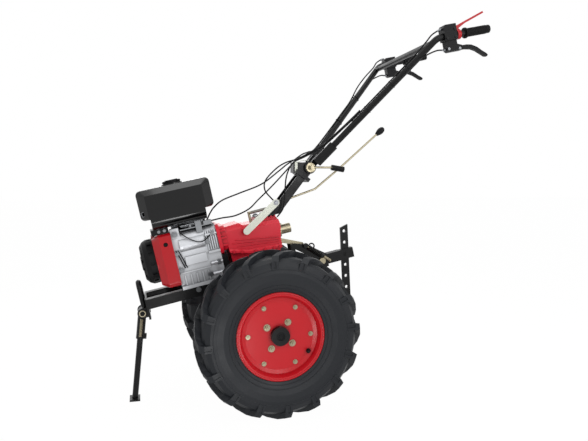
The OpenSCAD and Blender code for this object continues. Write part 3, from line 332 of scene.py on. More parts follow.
paints = {"black_paint": black_powder_coat(), "tank_black": tank_enamel(),
          "red_paint": red_enamel(), "red_cast": red_cast_enamel()}
finishes.update(paints)
print("paints:", [material.name for material in paints.values()])

# %% [markdown]
# ## Metals
# A bare metal has no colour under its gloss: the base colour tints what it mirrors. The crankcase
# is die-cast and slightly cloudy, bolts are turned steel, and plated pieces have the tint of their
# passivation. Small uneven patches keep them from looking like chrome.

# %% Metals


def die_cast_aluminium():
    # Pressure-cast aluminium, left as cast: pale grey metal with a satin, slightly cloudy skin.
    grey = "#c6c8cc"
    material, tree, shader = finish("die-cast aluminium", grey, 0.4, 0.85)
    # Painted shade: the grey goes darker in the crankcase's corners and recesses.
    painted_corner_shade(tree, shader, grey, "#3c3d40", 22)
    grain(tree, shader, 2.5, 0.15, 0.3)
    uneven(tree, shader, 25, 0.36, 0.52)
    return material


def plain_steel():
    # Turned and pressed steel with an oily, fairly bright skin.
    material, tree, shader = finish("plain steel", "#838588", 0.35, 1.0)
    uneven(tree, shader, 20, 0.28, 0.42)
    return material


def yellow_zinc():
    # Zinc plate with a yellow passivation: a bright metal with a warm olive tint.
    material, tree, shader = finish("yellow zinc plate", "#98907a", 0.3, 1.0)
    uneven(tree, shader, 15, 0.25, 0.42)
    return material


def pale_zinc():
    # Zinc plate with a pale passivation on a stamped arm: creamy and less shiny.
    material, tree, shader = finish("pale zinc plate", "#e0e3d6", 0.45, 0.1)
    uneven(tree, shader, 20, 0.38, 0.52)
    return material


metals = {"cast_alloy": die_cast_aluminium(), "steel": plain_steel(),
          "zinc": yellow_zinc(), "cream_zinc": pale_zinc()}
finishes.update(metals)
print("metals:", [material.name for material in metals.values()])

# %% [markdown]
# ## Plastics and rubbers
# Blocks and caps are moulded nylon, grips and tyres are rubber, and the cables have an extruded
# sheath. All are nearly black, so what tells them apart is gloss and grain. Their reflection is
# set below the usual level, because in a white studio a full gloss would turn them grey.

# %% Plastics and rubbers
SOFT_SHEEN = {"Specular IOR Level": 0.16}


def moulded_plastic():
    # Injection-moulded nylon: black with a fine spark-eroded texture.
    material, tree, shader = finish("moulded black nylon", "#0c0c0e", 0.48, sockets=SOFT_SHEEN)
    grain(tree, shader, 2, 0.08, 0.3)
    return material


def grip_rubber():
    # Moulded rubber, matt and slightly dusty.
    material, tree, shader = finish("grip rubber", "#0d0d0e", 0.65, sockets=SOFT_SHEEN)
    grain(tree, shader, 2, 0.1, 0.3)
    return material


def tyre_rubber():
    # Vulcanised tyre rubber fresh from the mould: dark grey with a soft sheen.
    material, tree, shader = finish("tyre rubber", "#111419", 0.46,
                                    sockets={"Specular IOR Level": 0.3})
    grain(tree, shader, 3, 0.15, 0.35)
    uneven(tree, shader, 80, 0.42, 0.58)
    return material


def cable_sheath():
    # Extruded PVC over a wire cable: smooth black, with a gloss that changes along it.
    material, tree, shader = finish("cable sheath", "#0a0a0b", 0.4, sockets=SOFT_SHEEN)
    uneven(tree, shader, 30, 0.34, 0.48)
    return material


plastics = {"black_plastic": moulded_plastic(), "grip_rubber": grip_rubber(),
            "tyre_rubber": tyre_rubber(), "cable_black": cable_sheath()}
finishes.update(plastics)
print("plastics and rubbers:", [material.name for material in plastics.values()])

# %% [markdown]
# ## Paint the solids
# The record says which finish each solid has, under the slot names that the finishes were filed by,
# so a loop puts the materials on and none is forgotten.

# %% Paint the solids
for part in record["subparts"]:
    solid = nodes[part["node"]]
    solid.data.materials.clear()
    solid.data.materials.append(finishes[part["material_slot"]])
print("painted:", len(record["subparts"]), "solids in", len(finishes), "finishes")

# %% [markdown]
# ## A place on the machine
# The machine is drawn level around its axle and then tipped nose down onto its stand. Sizes read in
# that level frame, in millimetres, are plain, so one matrix carries them to their parked place. The
# handlebar is measured from the point that it tilts about, and its right side mirrors its left.

# %% Level frame
PARKED_PITCH = math.radians(12.5)
LEVEL = (Matrix.Translation(AXLE) @ Matrix.Rotation(PARKED_PITCH, 4, "Y")
         @ Matrix.Scale(0.001, 4))
FORWARD, LEFT, UP = Vector((1, 0, 0)), Vector((0, 1, 0)), Vector((0, 0, 1))
SIDES = (1, -1)
TILT = Vector((-341, 0, 579))


def at(x, y, z):
    """A point of the level frame, in millimetres, as it parks."""
    return LEVEL @ Vector((x, y, z))


def route(*points):
    """A row of points of the level frame as they park."""
    return [at(*point) for point in points]


def way(direction):
    """A direction of the level frame as it parks."""
    return (LEVEL.to_3x3() @ direction).normalized()


def on_side(point, side):
    """A point of the left side as it parks, or its mirror image on the right."""
    return at(point.x, side * point.y, point.z)


def from_tilt(points, side=1):
    """A row of points measured from the handlebar's tilt axis."""
    return [on_side(TILT + Vector(point), side) for point in points]


print("axle at", [round(c, 4) for c in AXLE])

# %% [markdown]
# ## Trees that make what repeats
# Bolts, springs, cables and ribs all repeat one shape. Each could be copied by hand, but a Geometry
# Nodes tree does it with its sizes as inputs, so one tree serves every place. The functions below
# open a tree, put a shape on every point of a mesh, close the tree with a plain mesh and a
# material, run it, and tie the result to the body that it moves with.

# %% Build a tree


def new_tree(name, sizes):
    """A Geometry Nodes tree with a mesh input, one named input for each size, and a material."""
    tree = bpy.data.node_groups.new(name, "GeometryNodeTree")
    tree.interface.new_socket("Geometry", in_out="INPUT", socket_type="NodeSocketGeometry")
    for size, value in sizes.items():
        kind = "NodeSocketInt" if isinstance(value, int) else "NodeSocketFloat"
        tree.interface.new_socket(size, in_out="INPUT", socket_type=kind).default_value = value
    tree.interface.new_socket("Material", in_out="INPUT", socket_type="NodeSocketMaterial")
    tree.interface.new_socket("Geometry", in_out="OUTPUT", socket_type="NodeSocketGeometry")
    return tree, add(tree, "NodeGroupInput").outputs


def on_points(tree, given, shape):
    """Puts a shape on every point of the start mesh, turned to the way that the point carries."""
    carried = add(tree, "GeometryNodeInputNamedAttribute", {"Name": "facing"},
                  data_type="FLOAT_VECTOR")
    turn = add(tree, "FunctionNodeAlignRotationToVector",
               {"Vector": carried.outputs["Attribute"]}, axis="Z")
    placed = add(tree, "GeometryNodeInstanceOnPoints",
                 {"Points": given["Geometry"], "Instance": shape, "Rotation": turn.outputs[0]})
    return placed.outputs[0]


def close_tree(tree, given, shape):
    """Ends a tree in a plain mesh with the given material."""
    whole = add(tree, "GeometryNodeRealizeInstances", {"Geometry": shape})
    dressed = add(tree, "GeometryNodeSetMaterial",
                  {"Geometry": whole.outputs[0], "Material": given["Material"]})
    add(tree, "NodeGroupOutput", {"Geometry": dressed.outputs[0]})
    print(tree.name, "tree:", len(tree.nodes), "nodes")


print("tree functions ready")

# %% Run a tree


def spots(name, places):
    """A mesh of loose points, each carrying the direction that it faces."""
    mesh = bpy.data.meshes.new(name)
    mesh.from_pydata([place for place, facing_way in places], [], [])
    carried = mesh.attributes.new("facing", "FLOAT_VECTOR", "POINT")
    for item, (place, facing_way) in zip(carried.data, places):
        item.vector = facing_way
    return mesh


def grow(name, tree, start, slot, sizes=None):
    """Runs a tree on a start mesh and keeps the result as a plain mesh."""
    piece = bpy.data.objects.new(name, start)
    scene.collection.objects.link(piece)
    modifier = piece.modifiers.new("tree", "NODES")
    modifier.node_group = tree
    values = dict(sizes or {}, Material=finishes[slot])
    for item in tree.interface.items_tree:
        if item.in_out == "INPUT" and item.name in values:
            modifier[item.identifier] = values[item.name]
    graph = bpy.context.evaluated_depsgraph_get()
    mesh = bpy.data.meshes.new_from_object(piece.evaluated_get(graph))
    piece.modifiers.remove(modifier)
    piece.data = mesh
    return piece


def keep(piece, body):
    """Ties a finished piece to its body."""
    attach(piece, body)
    print(piece.name, "on", body, len(piece.data.polygons), "faces")
    return piece


print("ready to run trees in", len(finishes), "finishes")

# %% [markdown]
# ## Bolts
# A bolt head is a hexagon with a chamfered top on a round washer, and a nut also shows the end of
# its stud. The tree puts one on every point of a mesh, so a list of places is all that is needed. A
# stud that is shorter than the head stays hidden in it.

# %% Bolt tree
CROWN = 0.88  # of the head's radius, at its chamfered top
STUD_TIP = 0.7  # of the stud's radius
WASHER_DEPTH = 0.002
BOLT = {"Head radius": 0.008, "Head height": 0.006, "Washer radius": 0.011,
        "Stud radius": 0.002, "Stud height": 0.003}

bolts, given = new_tree("bolts", BOLT)
crown = add(bolts, "ShaderNodeMath", {0: given["Head radius"], 1: CROWN}, operation="MULTIPLY")
head = add(bolts, "GeometryNodeMeshCone",
           {"Vertices": 6, "Radius Bottom": given["Head radius"],
            "Radius Top": crown.outputs[0], "Depth": given["Head height"]})
washer = add(bolts, "GeometryNodeMeshCone",
             {"Vertices": 18, "Radius Bottom": given["Washer radius"],
              "Radius Top": given["Washer radius"], "Depth": WASHER_DEPTH})
tip = add(bolts, "ShaderNodeMath", {0: given["Stud radius"], 1: STUD_TIP}, operation="MULTIPLY")
stud = add(bolts, "GeometryNodeMeshCone",
           {"Vertices": 12, "Radius Bottom": given["Stud radius"],
            "Radius Top": tip.outputs[0], "Depth": given["Stud height"]})
whole_bolt = add(bolts, "GeometryNodeJoinGeometry")
for shape in (head, washer, stud):
    bolts.links.new(shape.outputs["Mesh"], whole_bolt.inputs[0])
close_tree(bolts, given, on_points(bolts, given, whole_bolt.outputs[0]))


def bolt_sizes(head, height, washer, stud=(2, 3)):
    """The tree's sizes from millimetres: radius and height of the head, washer, and stud."""
    return {size: mm / 1000 for size, mm in zip(BOLT, (head, height, washer, *stud))}


def fasten(name, places, body, slot, sizes=None):
    """A piece of bolts at the given places."""
    keep(grow(name, bolts, spots(name, places), slot, sizes), body)


# %% [markdown]
# ## Wheel bolts
# Six bolts hold the two halves of a rim, and four nuts hold the disc to its hub. Each set lies on a
# circle, so its places are worked out from a radius and a count. They turn with the wheel, so each
# wheel gets its own pieces.

# %% Wheel bolts
WHEELS = ((1, "wheel_left"), (-1, "wheel_right"))
RIM_BOLT_CIRCLE = 0.121
HUB_NUT_CIRCLE = 0.0585
DISC_FACE = 0.350


def ring_spots(radius, count, first, side):
    """Places around one wheel's axle on the outer face of its disc."""
    angles = [math.radians(first + 360 * i / count) for i in range(count)]
    return [(AXLE + Vector((radius * math.cos(a), side * DISC_FACE, -radius * math.sin(a))),
             side * LEFT) for a in angles]


for side, body in WHEELS:
    fasten(f"{body}_rim_bolts", ring_spots(RIM_BOLT_CIRCLE, 6, 0, side), body, "zinc",
           bolt_sizes(7, 6, 9, (3.5, 9)))
    fasten(f"{body}_hub_nuts", ring_spots(HUB_NUT_CIRCLE, 4, 57, side), body, "zinc",
           bolt_sizes(10.5, 10, 13, (5.5, 16)))

# %% [markdown]
# ## Bolts of the castings
# The gear case is bolted together along its seams, and its bolts were painted with it. They follow
# the sloping top cover, the ledge on the case's walls and the flange of the bell, so each row is
# written in the frame of the surface that it sits on.

# %% Casting bolts
TOP_COVER = (LEVEL @ Matrix.Translation((-146, 0, 400.6))
             @ Matrix.Rotation(-math.atan2(9, 154), 4, "Y"))
CASE_FRONT, CASE_LENGTH = 82, 232
CASE_HALF_WIDTH, CASE_NARROWING = 92, 14
LEDGE = ((66, 317), (34, 308), (-22, 298.3), (-62, 295.4), (-102, 292.6), (-128, 291))


def on_cover(x, y, z):
    """A place on the sloping cover, with the way that a bolt on it faces."""
    return TOP_COVER @ Vector((x, y, z)), way(UP)


def on_case(x, z, proud, side):
    """A point proud of a wall of the gear case, which narrows to the rear."""
    half_width = CASE_HALF_WIDTH - CASE_NARROWING * (CASE_FRONT - x) / CASE_LENGTH
    return at(x, side * (half_width + proud), z)


cover_bolts = [on_cover(14.8 + 15.6 * i, side * 49, 8) for i in range(5) for side in SIDES]
ledge_bolts = [(on_case(x, z - 3, 9, side), side * LEFT) for x, z in LEDGE for side in SIDES]
bell_bolts = [(at(105, side * 97, z), way(-FORWARD)) for z in (352, 392, 420) for side in SIDES]
fasten("casting_bolts", cover_bolts + ledge_bolts + bell_bolts, "chassis", "red_cast",
       bolt_sizes(5.5, 5, 7.5))

# %% [markdown]
# ## Bolts of the engine and the hitch
# The bolts on the bare crankcase, its feet, the rails and the column's base are plain steel, the
# studs behind the gear case carry plated nuts, and the depth bar's clamp is painted with its bolt.
# Each finish is a piece of its own, because a piece has one slot.

# %% Engine and hitch bolts
CRANKCASE = ((282, 439), (290, 361), (288, 293), (179, 249),
             (133, 291), (137, 412), (160, 381), (165, 199))
crank_bolts = [(at(x, 100, z), LEFT) for x, z in CRANKCASE]
foot_bolts = [(at(x, side * 98 - 4, 227), way(UP)) for x in (186, 232, 284) for side in SIDES]
column_bolts = [on_cover(x, side * 43, 24.4) for x in (44, 72) for side in SIDES]
rail_bolts = [(at(x, side * 100, 200), side * LEFT) for x in (167, 240) for side in SIDES]
arm_bolt = [(at(-146, 112, 472), LEFT)]
fasten("engine_bolts", crank_bolts + foot_bolts + column_bolts + rail_bolts + arm_bolt,
       "chassis", "steel", bolt_sizes(7.5, 6, 10.5))

rear_nuts = [(at(x, side * 46, z), way(-FORWARD))
             for x, z in ((-150, 374), (-145, 340)) for side in SIDES]
fasten("rear_nuts", rear_nuts, "chassis", "zinc", bolt_sizes(7.5, 7, 9.5, (4, 12)))
bracket_bolts = [(at(x, 102, 464), LEFT) for x in (318, 340)]
fasten("bracket_bolts", bracket_bolts, "chassis", "steel", bolt_sizes(4.8, 4, 6.2))
fasten("bar_clamp_bolt", [(at(-427, 14.3, 170), LEFT)], "chassis", "black_paint")

# %% [markdown]
# ## Springs
# A tension spring is one wire wound in a helix. A screw modifier could wind it, but Blender also
# has a spiral curve, so the tree sweeps a round wire along it with turns, coil and length as inputs.

# %% Spring tree
springs, given = new_tree("springs", {"Turns": 18.0, "Coil radius": 0.00475, "Length": 0.0725,
                                      "Wire radius": 0.00175})
helix = add(springs, "GeometryNodeCurveSpiral",
            {"Resolution": 14, "Rotations": given["Turns"], "Height": given["Length"],
             "Start Radius": given["Coil radius"], "End Radius": given["Coil radius"]})
wire = add(springs, "GeometryNodeCurvePrimitiveCircle",
           {"Resolution": 8, "Radius": given["Wire radius"]})
wound = add(springs, "GeometryNodeCurveToMesh",
            {"Curve": helix.outputs[0], "Profile Curve": wire.outputs[0], "Fill Caps": True})
even = add(springs, "GeometryNodeSetShadeSmooth", {"Geometry": wound.outputs[0]})
close_tree(springs, given, even.outputs[0])


def wind(name, place, body, slot, sizes=None):
    """A spring, moved from the origin to its place."""
    spring = grow(name, springs, bpy.data.meshes.new(name), slot, sizes)
    spring.data.transform(place)
    return keep(spring, body)


# %% [markdown]
# The spring on the stand pulls the leg over its dead point. It stands where the CAD model has a
# plain stack of rings, so it replaces that solid and folds away with the stand.

# %% Stand spring
LEG_LEAN = math.radians(5.5)
PIVOT = Vector(joints["stand_fold"]["pos_m"])
SPRING_FOOT = (0, 0.0238, -0.100)
leg = Matrix.Translation(PIVOT) @ Matrix.Rotation(-LEG_LEAN, 4, "Y")
stand_spring = wind("wound_stand_spring", leg @ Matrix.Translation(SPRING_FOOT), "stand", "zinc")
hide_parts("stand_spring")

# %% [markdown]
# ## Cables
# The control cables hang from the column's head to the engine and the gear case. In the solids they
# are coarse tubes. Here a tree sweeps a round sheath along a smooth curve through the same points.

# %% Cable tree
cables, given = new_tree("cables", {"Sheath radius": 0.003})
line = add(cables, "GeometryNodeMeshToCurve", {"Mesh": given["Geometry"]})
curved = add(cables, "GeometryNodeCurveSplineType", {"Curve": line.outputs[0]},
             spline_type="CATMULL_ROM")
fine = add(cables, "GeometryNodeSetSplineResolution",
           {"Geometry": curved.outputs[0], "Resolution": 8})
round_wire = add(cables, "GeometryNodeCurvePrimitiveCircle",
                 {"Resolution": 12, "Radius": given["Sheath radius"]})
sheath = add(cables, "GeometryNodeCurveToMesh",
             {"Curve": fine.outputs[0], "Profile Curve": round_wire.outputs[0],
              "Fill Caps": True})
even = add(cables, "GeometryNodeSetShadeSmooth", {"Geometry": sheath.outputs[0]})
close_tree(cables, given, even.outputs[0])


def runs(name, routes, closed=False):
    """A mesh of lines, one for each route of points, closed to loops if asked."""
    points, edges = [], []
    for points_of_run in routes:
        first, count = len(points), len(points_of_run)
        points += points_of_run
        steps = range(count if closed else count - 1)
        edges += [(first + i, first + (i + 1) % count) for i in steps]
    mesh = bpy.data.meshes.new(name)
    mesh.from_pydata(points, edges, [])
    return mesh


def sweep(name, routes, body, slot, radius_mm, closed=False):
    """Cables, wires or ribs of one thickness along routes."""
    sizes = {"Sheath radius": radius_mm / 1000}
    return keep(grow(name, cables, runs(name, routes, closed), slot, sizes), body)


# %% [markdown]
# The four hanging cables run from the column's head down to the engine and the gear case, with
# their upper ends placed from the handlebar's tilt axis. Their piece stays where it is drawn and is
# tied to no body. Higher up they run in a bundle, shown as three strands that turn around its
# middle.

# %% Hanging and bundled cables
STRAND_REACH = 0.0035
STRAND_TURNS = (0, 2.1, 4.2)

clutch = from_tilt([(67.4, 43.4, 46.4), (106, 46, 43), (151, 48, 27), (205, 50, -10),
                    (219, 58, -49), (205, 84, -87), (196, 98, -102), (195, 105.6, -106)])
throttle = from_tilt([(65.9, 36.8, 46.2), (101, 34, 33), (141, 32, 13), (225, 40, -23),
                      (328, 50, -39), (401, 52, -51), (441, 55, -71), (463, 58, -91),
                      (479, 61, -111), (491, 62, -123)])
governor = from_tilt([(65.1, 36.8, 39.6), (105, 38, 11), (182, 44, -40), (257, 60, -83),
                      (307, 84, -109), (367, 80, -123), (421, 79, -120), (451, 78, -120),
                      (467.6, 78, -120)])
gear = from_tilt([(67, 43.4, 39.6), (95, 54, 17), (119, 60, -19), (139, 62, -79),
                  (159, 62, -139), (193, 61, -171)])
hanging = grow("hanging_cables", cables, runs("hanging", [clutch, throttle, governor, gear]),
               "cable_black")
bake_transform(hanging)
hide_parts("cable_clutch", "cable_throttle", "cable_governor", "cable_gear")
print(hanging.name, "from chassis to handle", len(hanging.data.polygons), "faces")

bundle = from_tilt([(65, 40, 43), (1, 52, 58), (-55, 72, 76), (-91, 89, 96), (-165, 123, 143),
                    (-227, 152, 188)])
strands = [[point + way(LEFT) * STRAND_REACH * math.cos(turn + i)
            + way(UP) * STRAND_REACH * math.sin(turn + i) for i, point in enumerate(bundle)]
           for turn in STRAND_TURNS]
bundled = sweep("bundled_cables", strands, "handle", "cable_black", 3.3)
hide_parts("cable_bundle")

# %% [markdown]
# ## Turned and folded pieces
# Nuts, pins, stems and sleeves are round: half an outline is drawn in millimetres and spun around
# an axis. Straps and clips are strips: a flat section is carried along a path and folds with it.
# Both are a few lines of mesh code, and one function joins what they make to a piece.

# %% Turned and folded pieces
SMOOTH_BELOW = math.radians(35)


def aimed(place, axis):
    """A matrix that moves a shape to a place, with its Z along an axis."""
    return Matrix.Translation(place) @ axis.to_track_quat("Z", "X").to_matrix().to_4x4()


def rows_to_shape(rows):
    """Points and faces of a closed skin over rows of points, capped at both ends."""
    wide = len(rows[0])
    last = (len(rows) - 1) * wide
    faces = [(row + k, row + (k + 1) % wide, row + wide + (k + 1) % wide, row + wide + k)
             for row in range(0, last, wide) for k in range(wide)]
    faces += [tuple(reversed(range(wide))), tuple(range(last, last + wide))]
    return [point for row in rows for point in row], faces


def turned(outline, place, axis, sides=24):
    """An outline of (radius, height) points in millimetres, spun around an axis."""
    stand = aimed(place, axis) @ Matrix.Scale(0.001, 4)
    angles = [2 * math.pi * k / sides for k in range(sides)]
    return rows_to_shape([[stand @ Vector((r * math.cos(a), r * math.sin(a), h)) for a in angles]
                          for r, h in outline])


def folded(path, across, thick):
    """A strip along a path, as wide as the vector across and folded where the path turns."""
    rows = []
    for i, point in enumerate(path):
        along = (path[min(i + 1, len(path) - 1)] - path[max(i - 1, 0)]).normalized()
        rise = along.cross(across).normalized() * thick / 2
        left, right = point - across / 2, point + across / 2
        rows.append([left - rise, right - rise, right + rise, left + rise])
    return rows_to_shape(rows)


def joined(name, shapes, body, slot):
    """A piece made of several shapes, smooth over shallow angles."""
    points, faces = [], []
    for shape_points, shape_faces in shapes:
        faces += [tuple(len(points) + i for i in face) for face in shape_faces]
        points += shape_points
    mesh = bpy.data.meshes.new(name)
    mesh.from_pydata(points, [], faces)
    mesh.shade_smooth()
    mesh.set_sharp_from_angle(angle=SMOOTH_BELOW)
    mesh.materials.append(finishes[slot])
    made = bpy.data.objects.new(name, mesh)
    scene.collection.objects.link(made)
    keep(made, body)


print("a turned pin has", len(turned([(4, 0), (4, 10)], Vector(), UP)[1]), "faces")

# %% [markdown]
# ## On the stand
# The pin of the stand has hollow heads. Black plugs close them and leave a bright rim around. A
# flat disc would do from afar, but a turned outline also gives the plug its rounded edge.

# %% Pin plugs
PIN_FACE = 0.04915
PIN_PLUG = [(9.6, -1), (9.6, 0.8), (8.8, 1.6), (3, 1.8)]
plugs = [turned(PIN_PLUG, PIVOT + LEFT * side * PIN_FACE, side * LEFT) for side in SIDES]
joined("stand_pin_plugs", plugs, "chassis", "black_plastic")

# %% [markdown]
# ## Rings
# The tyres have moulded rings on their walls, the grips are ribbed and the hitch's lock pin has a
# pull ring. All are a round section bent to a circle, so one more tree puts such a ring on every
# point of a mesh, square to the direction that the point carries.

# %% Ring tree
rings, given = new_tree("rings", {"Ring radius": 0.0166, "Wire radius": 0.0011, "Sides": 28})
circle = add(rings, "GeometryNodeCurvePrimitiveCircle",
             {"Resolution": given["Sides"], "Radius": given["Ring radius"]})
section = add(rings, "GeometryNodeCurvePrimitiveCircle",
              {"Resolution": 8, "Radius": given["Wire radius"]})
hoop = add(rings, "GeometryNodeCurveToMesh",
           {"Curve": circle.outputs[0], "Profile Curve": section.outputs[0]})
even = add(rings, "GeometryNodeSetShadeSmooth", {"Geometry": hoop.outputs[0]})
close_tree(rings, given, on_points(rings, given, even.outputs[0]))


def encircle(name, places, body, slot, sizes=None):
    """A piece of rings around the given places."""
    keep(grow(name, rings, spots(name, places), slot, sizes), body)


# %% [markdown]
# ## On the wheels
# Three rings are moulded on each wall of a tyre, two beside the rim and one halfway to the lugs.
# The rim's edge is rolled, so it gets a round bead that catches the light, and the ring tree makes
# both. Each tyre is filled through a valve stem that stands out of the disc, and a black dust cap
# closes the hub over the axle's end. These two are turned from their outlines.

# %% Tyre rings, rim edges, dust caps and valve stems
TYRE_MIDDLE = 0.310
WALL_RINGS = ((0.1810, 0.0706), (0.1965, 0.0772), (0.2552, 0.0817))  # radius, from the middle
RIM_EDGE = (0.1648, 0.0635)
WALL_WIRE, EDGE_WIRE = 0.0016, 0.004
WHEEL_SIDES = 128
HUB_FACE = 0.361
CAP = [(16, 0), (16, 8), (15, 9.4), (12, 9.4), (11, 7.6), (7, 7.6), (6, 9.4), (3, 9.4), (2, 8.4)]
STEM = [(9, -1), (8.6, 6), (6, 9), (5.6, 17), (4.4, 18), (4.4, 27), (3.4, 28)]


def wheel_rings(name, side, body, slot, radius, bulge, wire_radius):
    """A ring on each of the two walls of a wheel."""
    walls = [(AXLE + LEFT * (side * TYRE_MIDDLE + wall * bulge), wall * LEFT) for wall in SIDES]
    encircle(name, walls, body, slot,
             {"Ring radius": radius, "Wire radius": wire_radius, "Sides": WHEEL_SIDES})


for side, body in WHEELS:
    for number, (radius, bulge) in enumerate(WALL_RINGS, 1):
        wheel_rings(f"{body}_wall_ring_{number}", side, body, "tyre_rubber", radius, bulge,
                    WALL_WIRE)
    wheel_rings(f"{body}_rim_edges", side, body, "red_paint", *RIM_EDGE, EDGE_WIRE)
    cap = turned(CAP, AXLE + LEFT * side * HUB_FACE, side * LEFT, 32)
    joined(f"{body}_dust_cap", [cap], body, "black_plastic")
    stem_foot = AXLE + Vector((-0.112, side * DISC_FACE, -0.066))
    stem = turned(STEM, stem_foot, Vector((0.2, side, 0.1)), 16)
    joined(f"{body}_valve_stem", [stem], body, "black_plastic")

# %% [markdown]
# ## On the engine
# Thin wires run over the crankcase: one loops from the starter's side to the throttle linkage and
# two short ones stay close to the shroud. The cable tree sweeps them too. A folded clip holds the
# tank's front corner, and a turned rubber plug closes the hole in the shroud.

# %% Engine wires, tank clip and shroud plug
loop_wire = route((258, 100, 439), (254, 109, 434), (225, 112, 406), (189, 112, 388),
                  (159, 109, 398), (146, 101, 408))
short_wires = [route((284 + x, 101, 374), (276 + x, 104, 350), (268 + x, 104, 318),
                     (262 + x, 101, 298)) for x in (0, 9)]
sweep("engine_wires", [loop_wire] + short_wires, "chassis", "cable_black", 2)

clip_path = route((372, 131, 556), (389, 131, 553), (385, 131, 537), (374, 131, 539))
joined("tank_clip", [folded(clip_path, way(LEFT) * 0.012, 0.002)], "chassis", "steel")

PLUG_FACE = [(8.8, -5.6), (8.8, -0.4), (7.4, 0.8), (5.4, -1.2), (2, -1.8)]
joined("shroud_plug", [turned(PLUG_FACE, at(326, 128, 411), LEFT)], "chassis", "grip_rubber")

# %% [markdown]
# The spark plug is on the far side, low on the cylinder's head, with its lead led forward to the
# shroud. A plug is a hexagon, a ribbed insulator and a rubber boot, all round enough to be one
# turned outline in the frame of the slanting cylinder.

# %% Spark plug
HEAD = LEVEL @ Matrix.Translation((216, 0, 345)) @ Matrix.Rotation(math.radians(65), 4, "X")
PLUG = [(7, 0), (9, 1), (9, 9), (6, 10), (6, 14), (5.4, 15), (6, 16), (5.4, 17), (6, 18),
        (8, 19), (8.6, 34), (7, 46), (4, 48)]
plug_place = HEAD @ Vector((0, -56, 228))
plug_axis = (HEAD.to_3x3() @ UP).normalized()
joined("spark_plug", [turned(PLUG, plug_place, plug_axis, 18)], "chassis", "black_plastic")
lead = [HEAD @ Vector((0, -56, 274))]
lead += route((226, -286, 408), (262, -268, 396), (292, -205, 392), (300, -150, 402),
              (304, -128, 410))
sweep("plug_lead", [lead], "chassis", "cable_black", 3.5)

# %% [markdown]
# ## On the gear case
# Shallow cast ribs run along both sides of the case. They are lines on its walls, so the cable tree
# sweeps them, half sunk and dipping in at their ends. A tension spring pulls the clutch arm back to
# its post, and the same spring tree winds it.

# %% Case ribs and arm spring
RIB_ENDS = (((58, 346), (-128, 321)), ((44, 357), (-130, 330)), ((42, 330), (-126, 311)))
RIB_DIP = -4
ribs = [[on_case(x0, z0, RIB_DIP, side), on_case(x0 - 8, z0 - 1, 0, side),
         on_case(x1 + 8, z1 + 1, 0, side), on_case(x1, z1, RIB_DIP, side)]
        for (x0, z0), (x1, z1) in RIB_ENDS for side in SIDES]
sweep("case_ribs", ribs, "chassis", "red_cast", 2.6)

post_top, arm_hook = route((-34, 62, 451.6), (-120.1, 97.7, 456.3))
arm_way = (arm_hook - post_top).normalized()
wind("wound_arm_spring", aimed(post_top + arm_way * 0.008, arm_way), "chassis", "steel",
     {"Turns": 19.0, "Coil radius": 0.0056, "Length": 0.078, "Wire radius": 0.0013})

# %% [markdown]
# ## On the column's head
# A bright strap goes over the head's block beside the cables, and a folded plate covers the clamp.
# Both are bent from strip, so they are folded along paths that are drawn in the block's own frame.

# %% Head strap and plate
BLOCK = LEVEL @ Matrix.Translation(TILT) @ Matrix.Rotation(-PARKED_PITCH, 4, "Y")
STRAP = ((28.2, -18), (28.2, 21), (25.5, 23.4), (0, 23.4),
         (-25.5, 23.4), (-28.2, 21), (-28.2, -18))
PLATE = ((50, 23.2), (42, 23.2), (39, 29), (20, 31), (5, 31.5), (1, 29.5))
strap_path = [BLOCK @ Vector((60.5, y, z)) for y, z in STRAP]
plate_path = [BLOCK @ Vector((x, 0, z)) for x, z in PLATE]
strap = folded(strap_path, way(FORWARD) * 0.012, 0.002)
plate = folded(plate_path, way(LEFT) * 0.038, 0.0025)
joined("head_strap", [strap, plate], "chassis", "cream_zinc")

# %% [markdown]
# ## On the hitch
# A spring-loaded rod holds the hitch beam: a boss on the bracket, a wound spring, a nut and a
# threaded end. At this distance a thread can be a row of rings in the rod's outline instead of a
# true helix. A ring on top pulls the lock pin.

# %% Hitch rod
rod_start, rod_end = route((-248, 39, 256), (-343, 39, 165))
rod_way = (rod_end - rod_start).normalized()
thread = [(5.6 if i % 2 else 6.4, 96 + i * 1.3) for i in range(28)]
rod = turned([(4.5, 0), (4.5, 95)] + thread + [(4.6, 133)], rod_start, rod_way, 16)
joined("hitch_rod", [rod], "chassis", "zinc")
boss = turned([(10, 0), (11, 1), (11, 14), (10, 15)], at(-248, 32, 256), way(LEFT), 20)
nut = turned([(10.5, 82), (11.6, 83.5), (11.6, 92.5), (10.5, 94)], rod_start, rod_way, 6)
joined("hitch_boss", [boss, nut], "chassis", "black_paint")
wind("wound_hitch_spring", aimed(rod_start + rod_way * 0.012, rod_way), "chassis", "black_paint",
     {"Turns": 10.0, "Coil radius": 0.0095, "Length": 0.068, "Wire radius": 0.0026})
encircle("hitch_pull_ring", [(at(-276, 27, 246), way(LEFT + 0.3 * FORWARD))], "chassis",
         "black_paint", {"Ring radius": 0.0115, "Wire radius": 0.003})

# %% [markdown]
# ## On the handlebar
# Points on the bar are found along its left tube, and the right tube mirrors them. The grips get
# their ribs from the ring tree, evenly spaced along the grip, and the clamp lever gets a turned
# black sleeve.

# %% Grip ribs and sleeve
GRIP_END = TILT + Vector((-796, 281, 405))
BEND = TILT + Vector((-551, 304, 402))
TUBE_START = TILT + Vector((-8, 50, 1))
GRIP_WAY = (BEND - GRIP_END).normalized()
TUBE_WAY = (BEND - TUBE_START).normalized()
OVER = (UP - TUBE_WAY * TUBE_WAY.z).normalized()
BESIDE = TUBE_WAY.cross(OVER)
FIRST_RIB, RIB_STEP, RIB_COUNT = 16, 7, 14
SLEEVE = [(11.8, -0.8), (12.2, 1), (12.2, 16), (11.8, 17), (12.2, 18), (12.2, 38), (11.8, 39),
          (12.2, 40), (12.2, 54.9), (11.8, 55.6)]

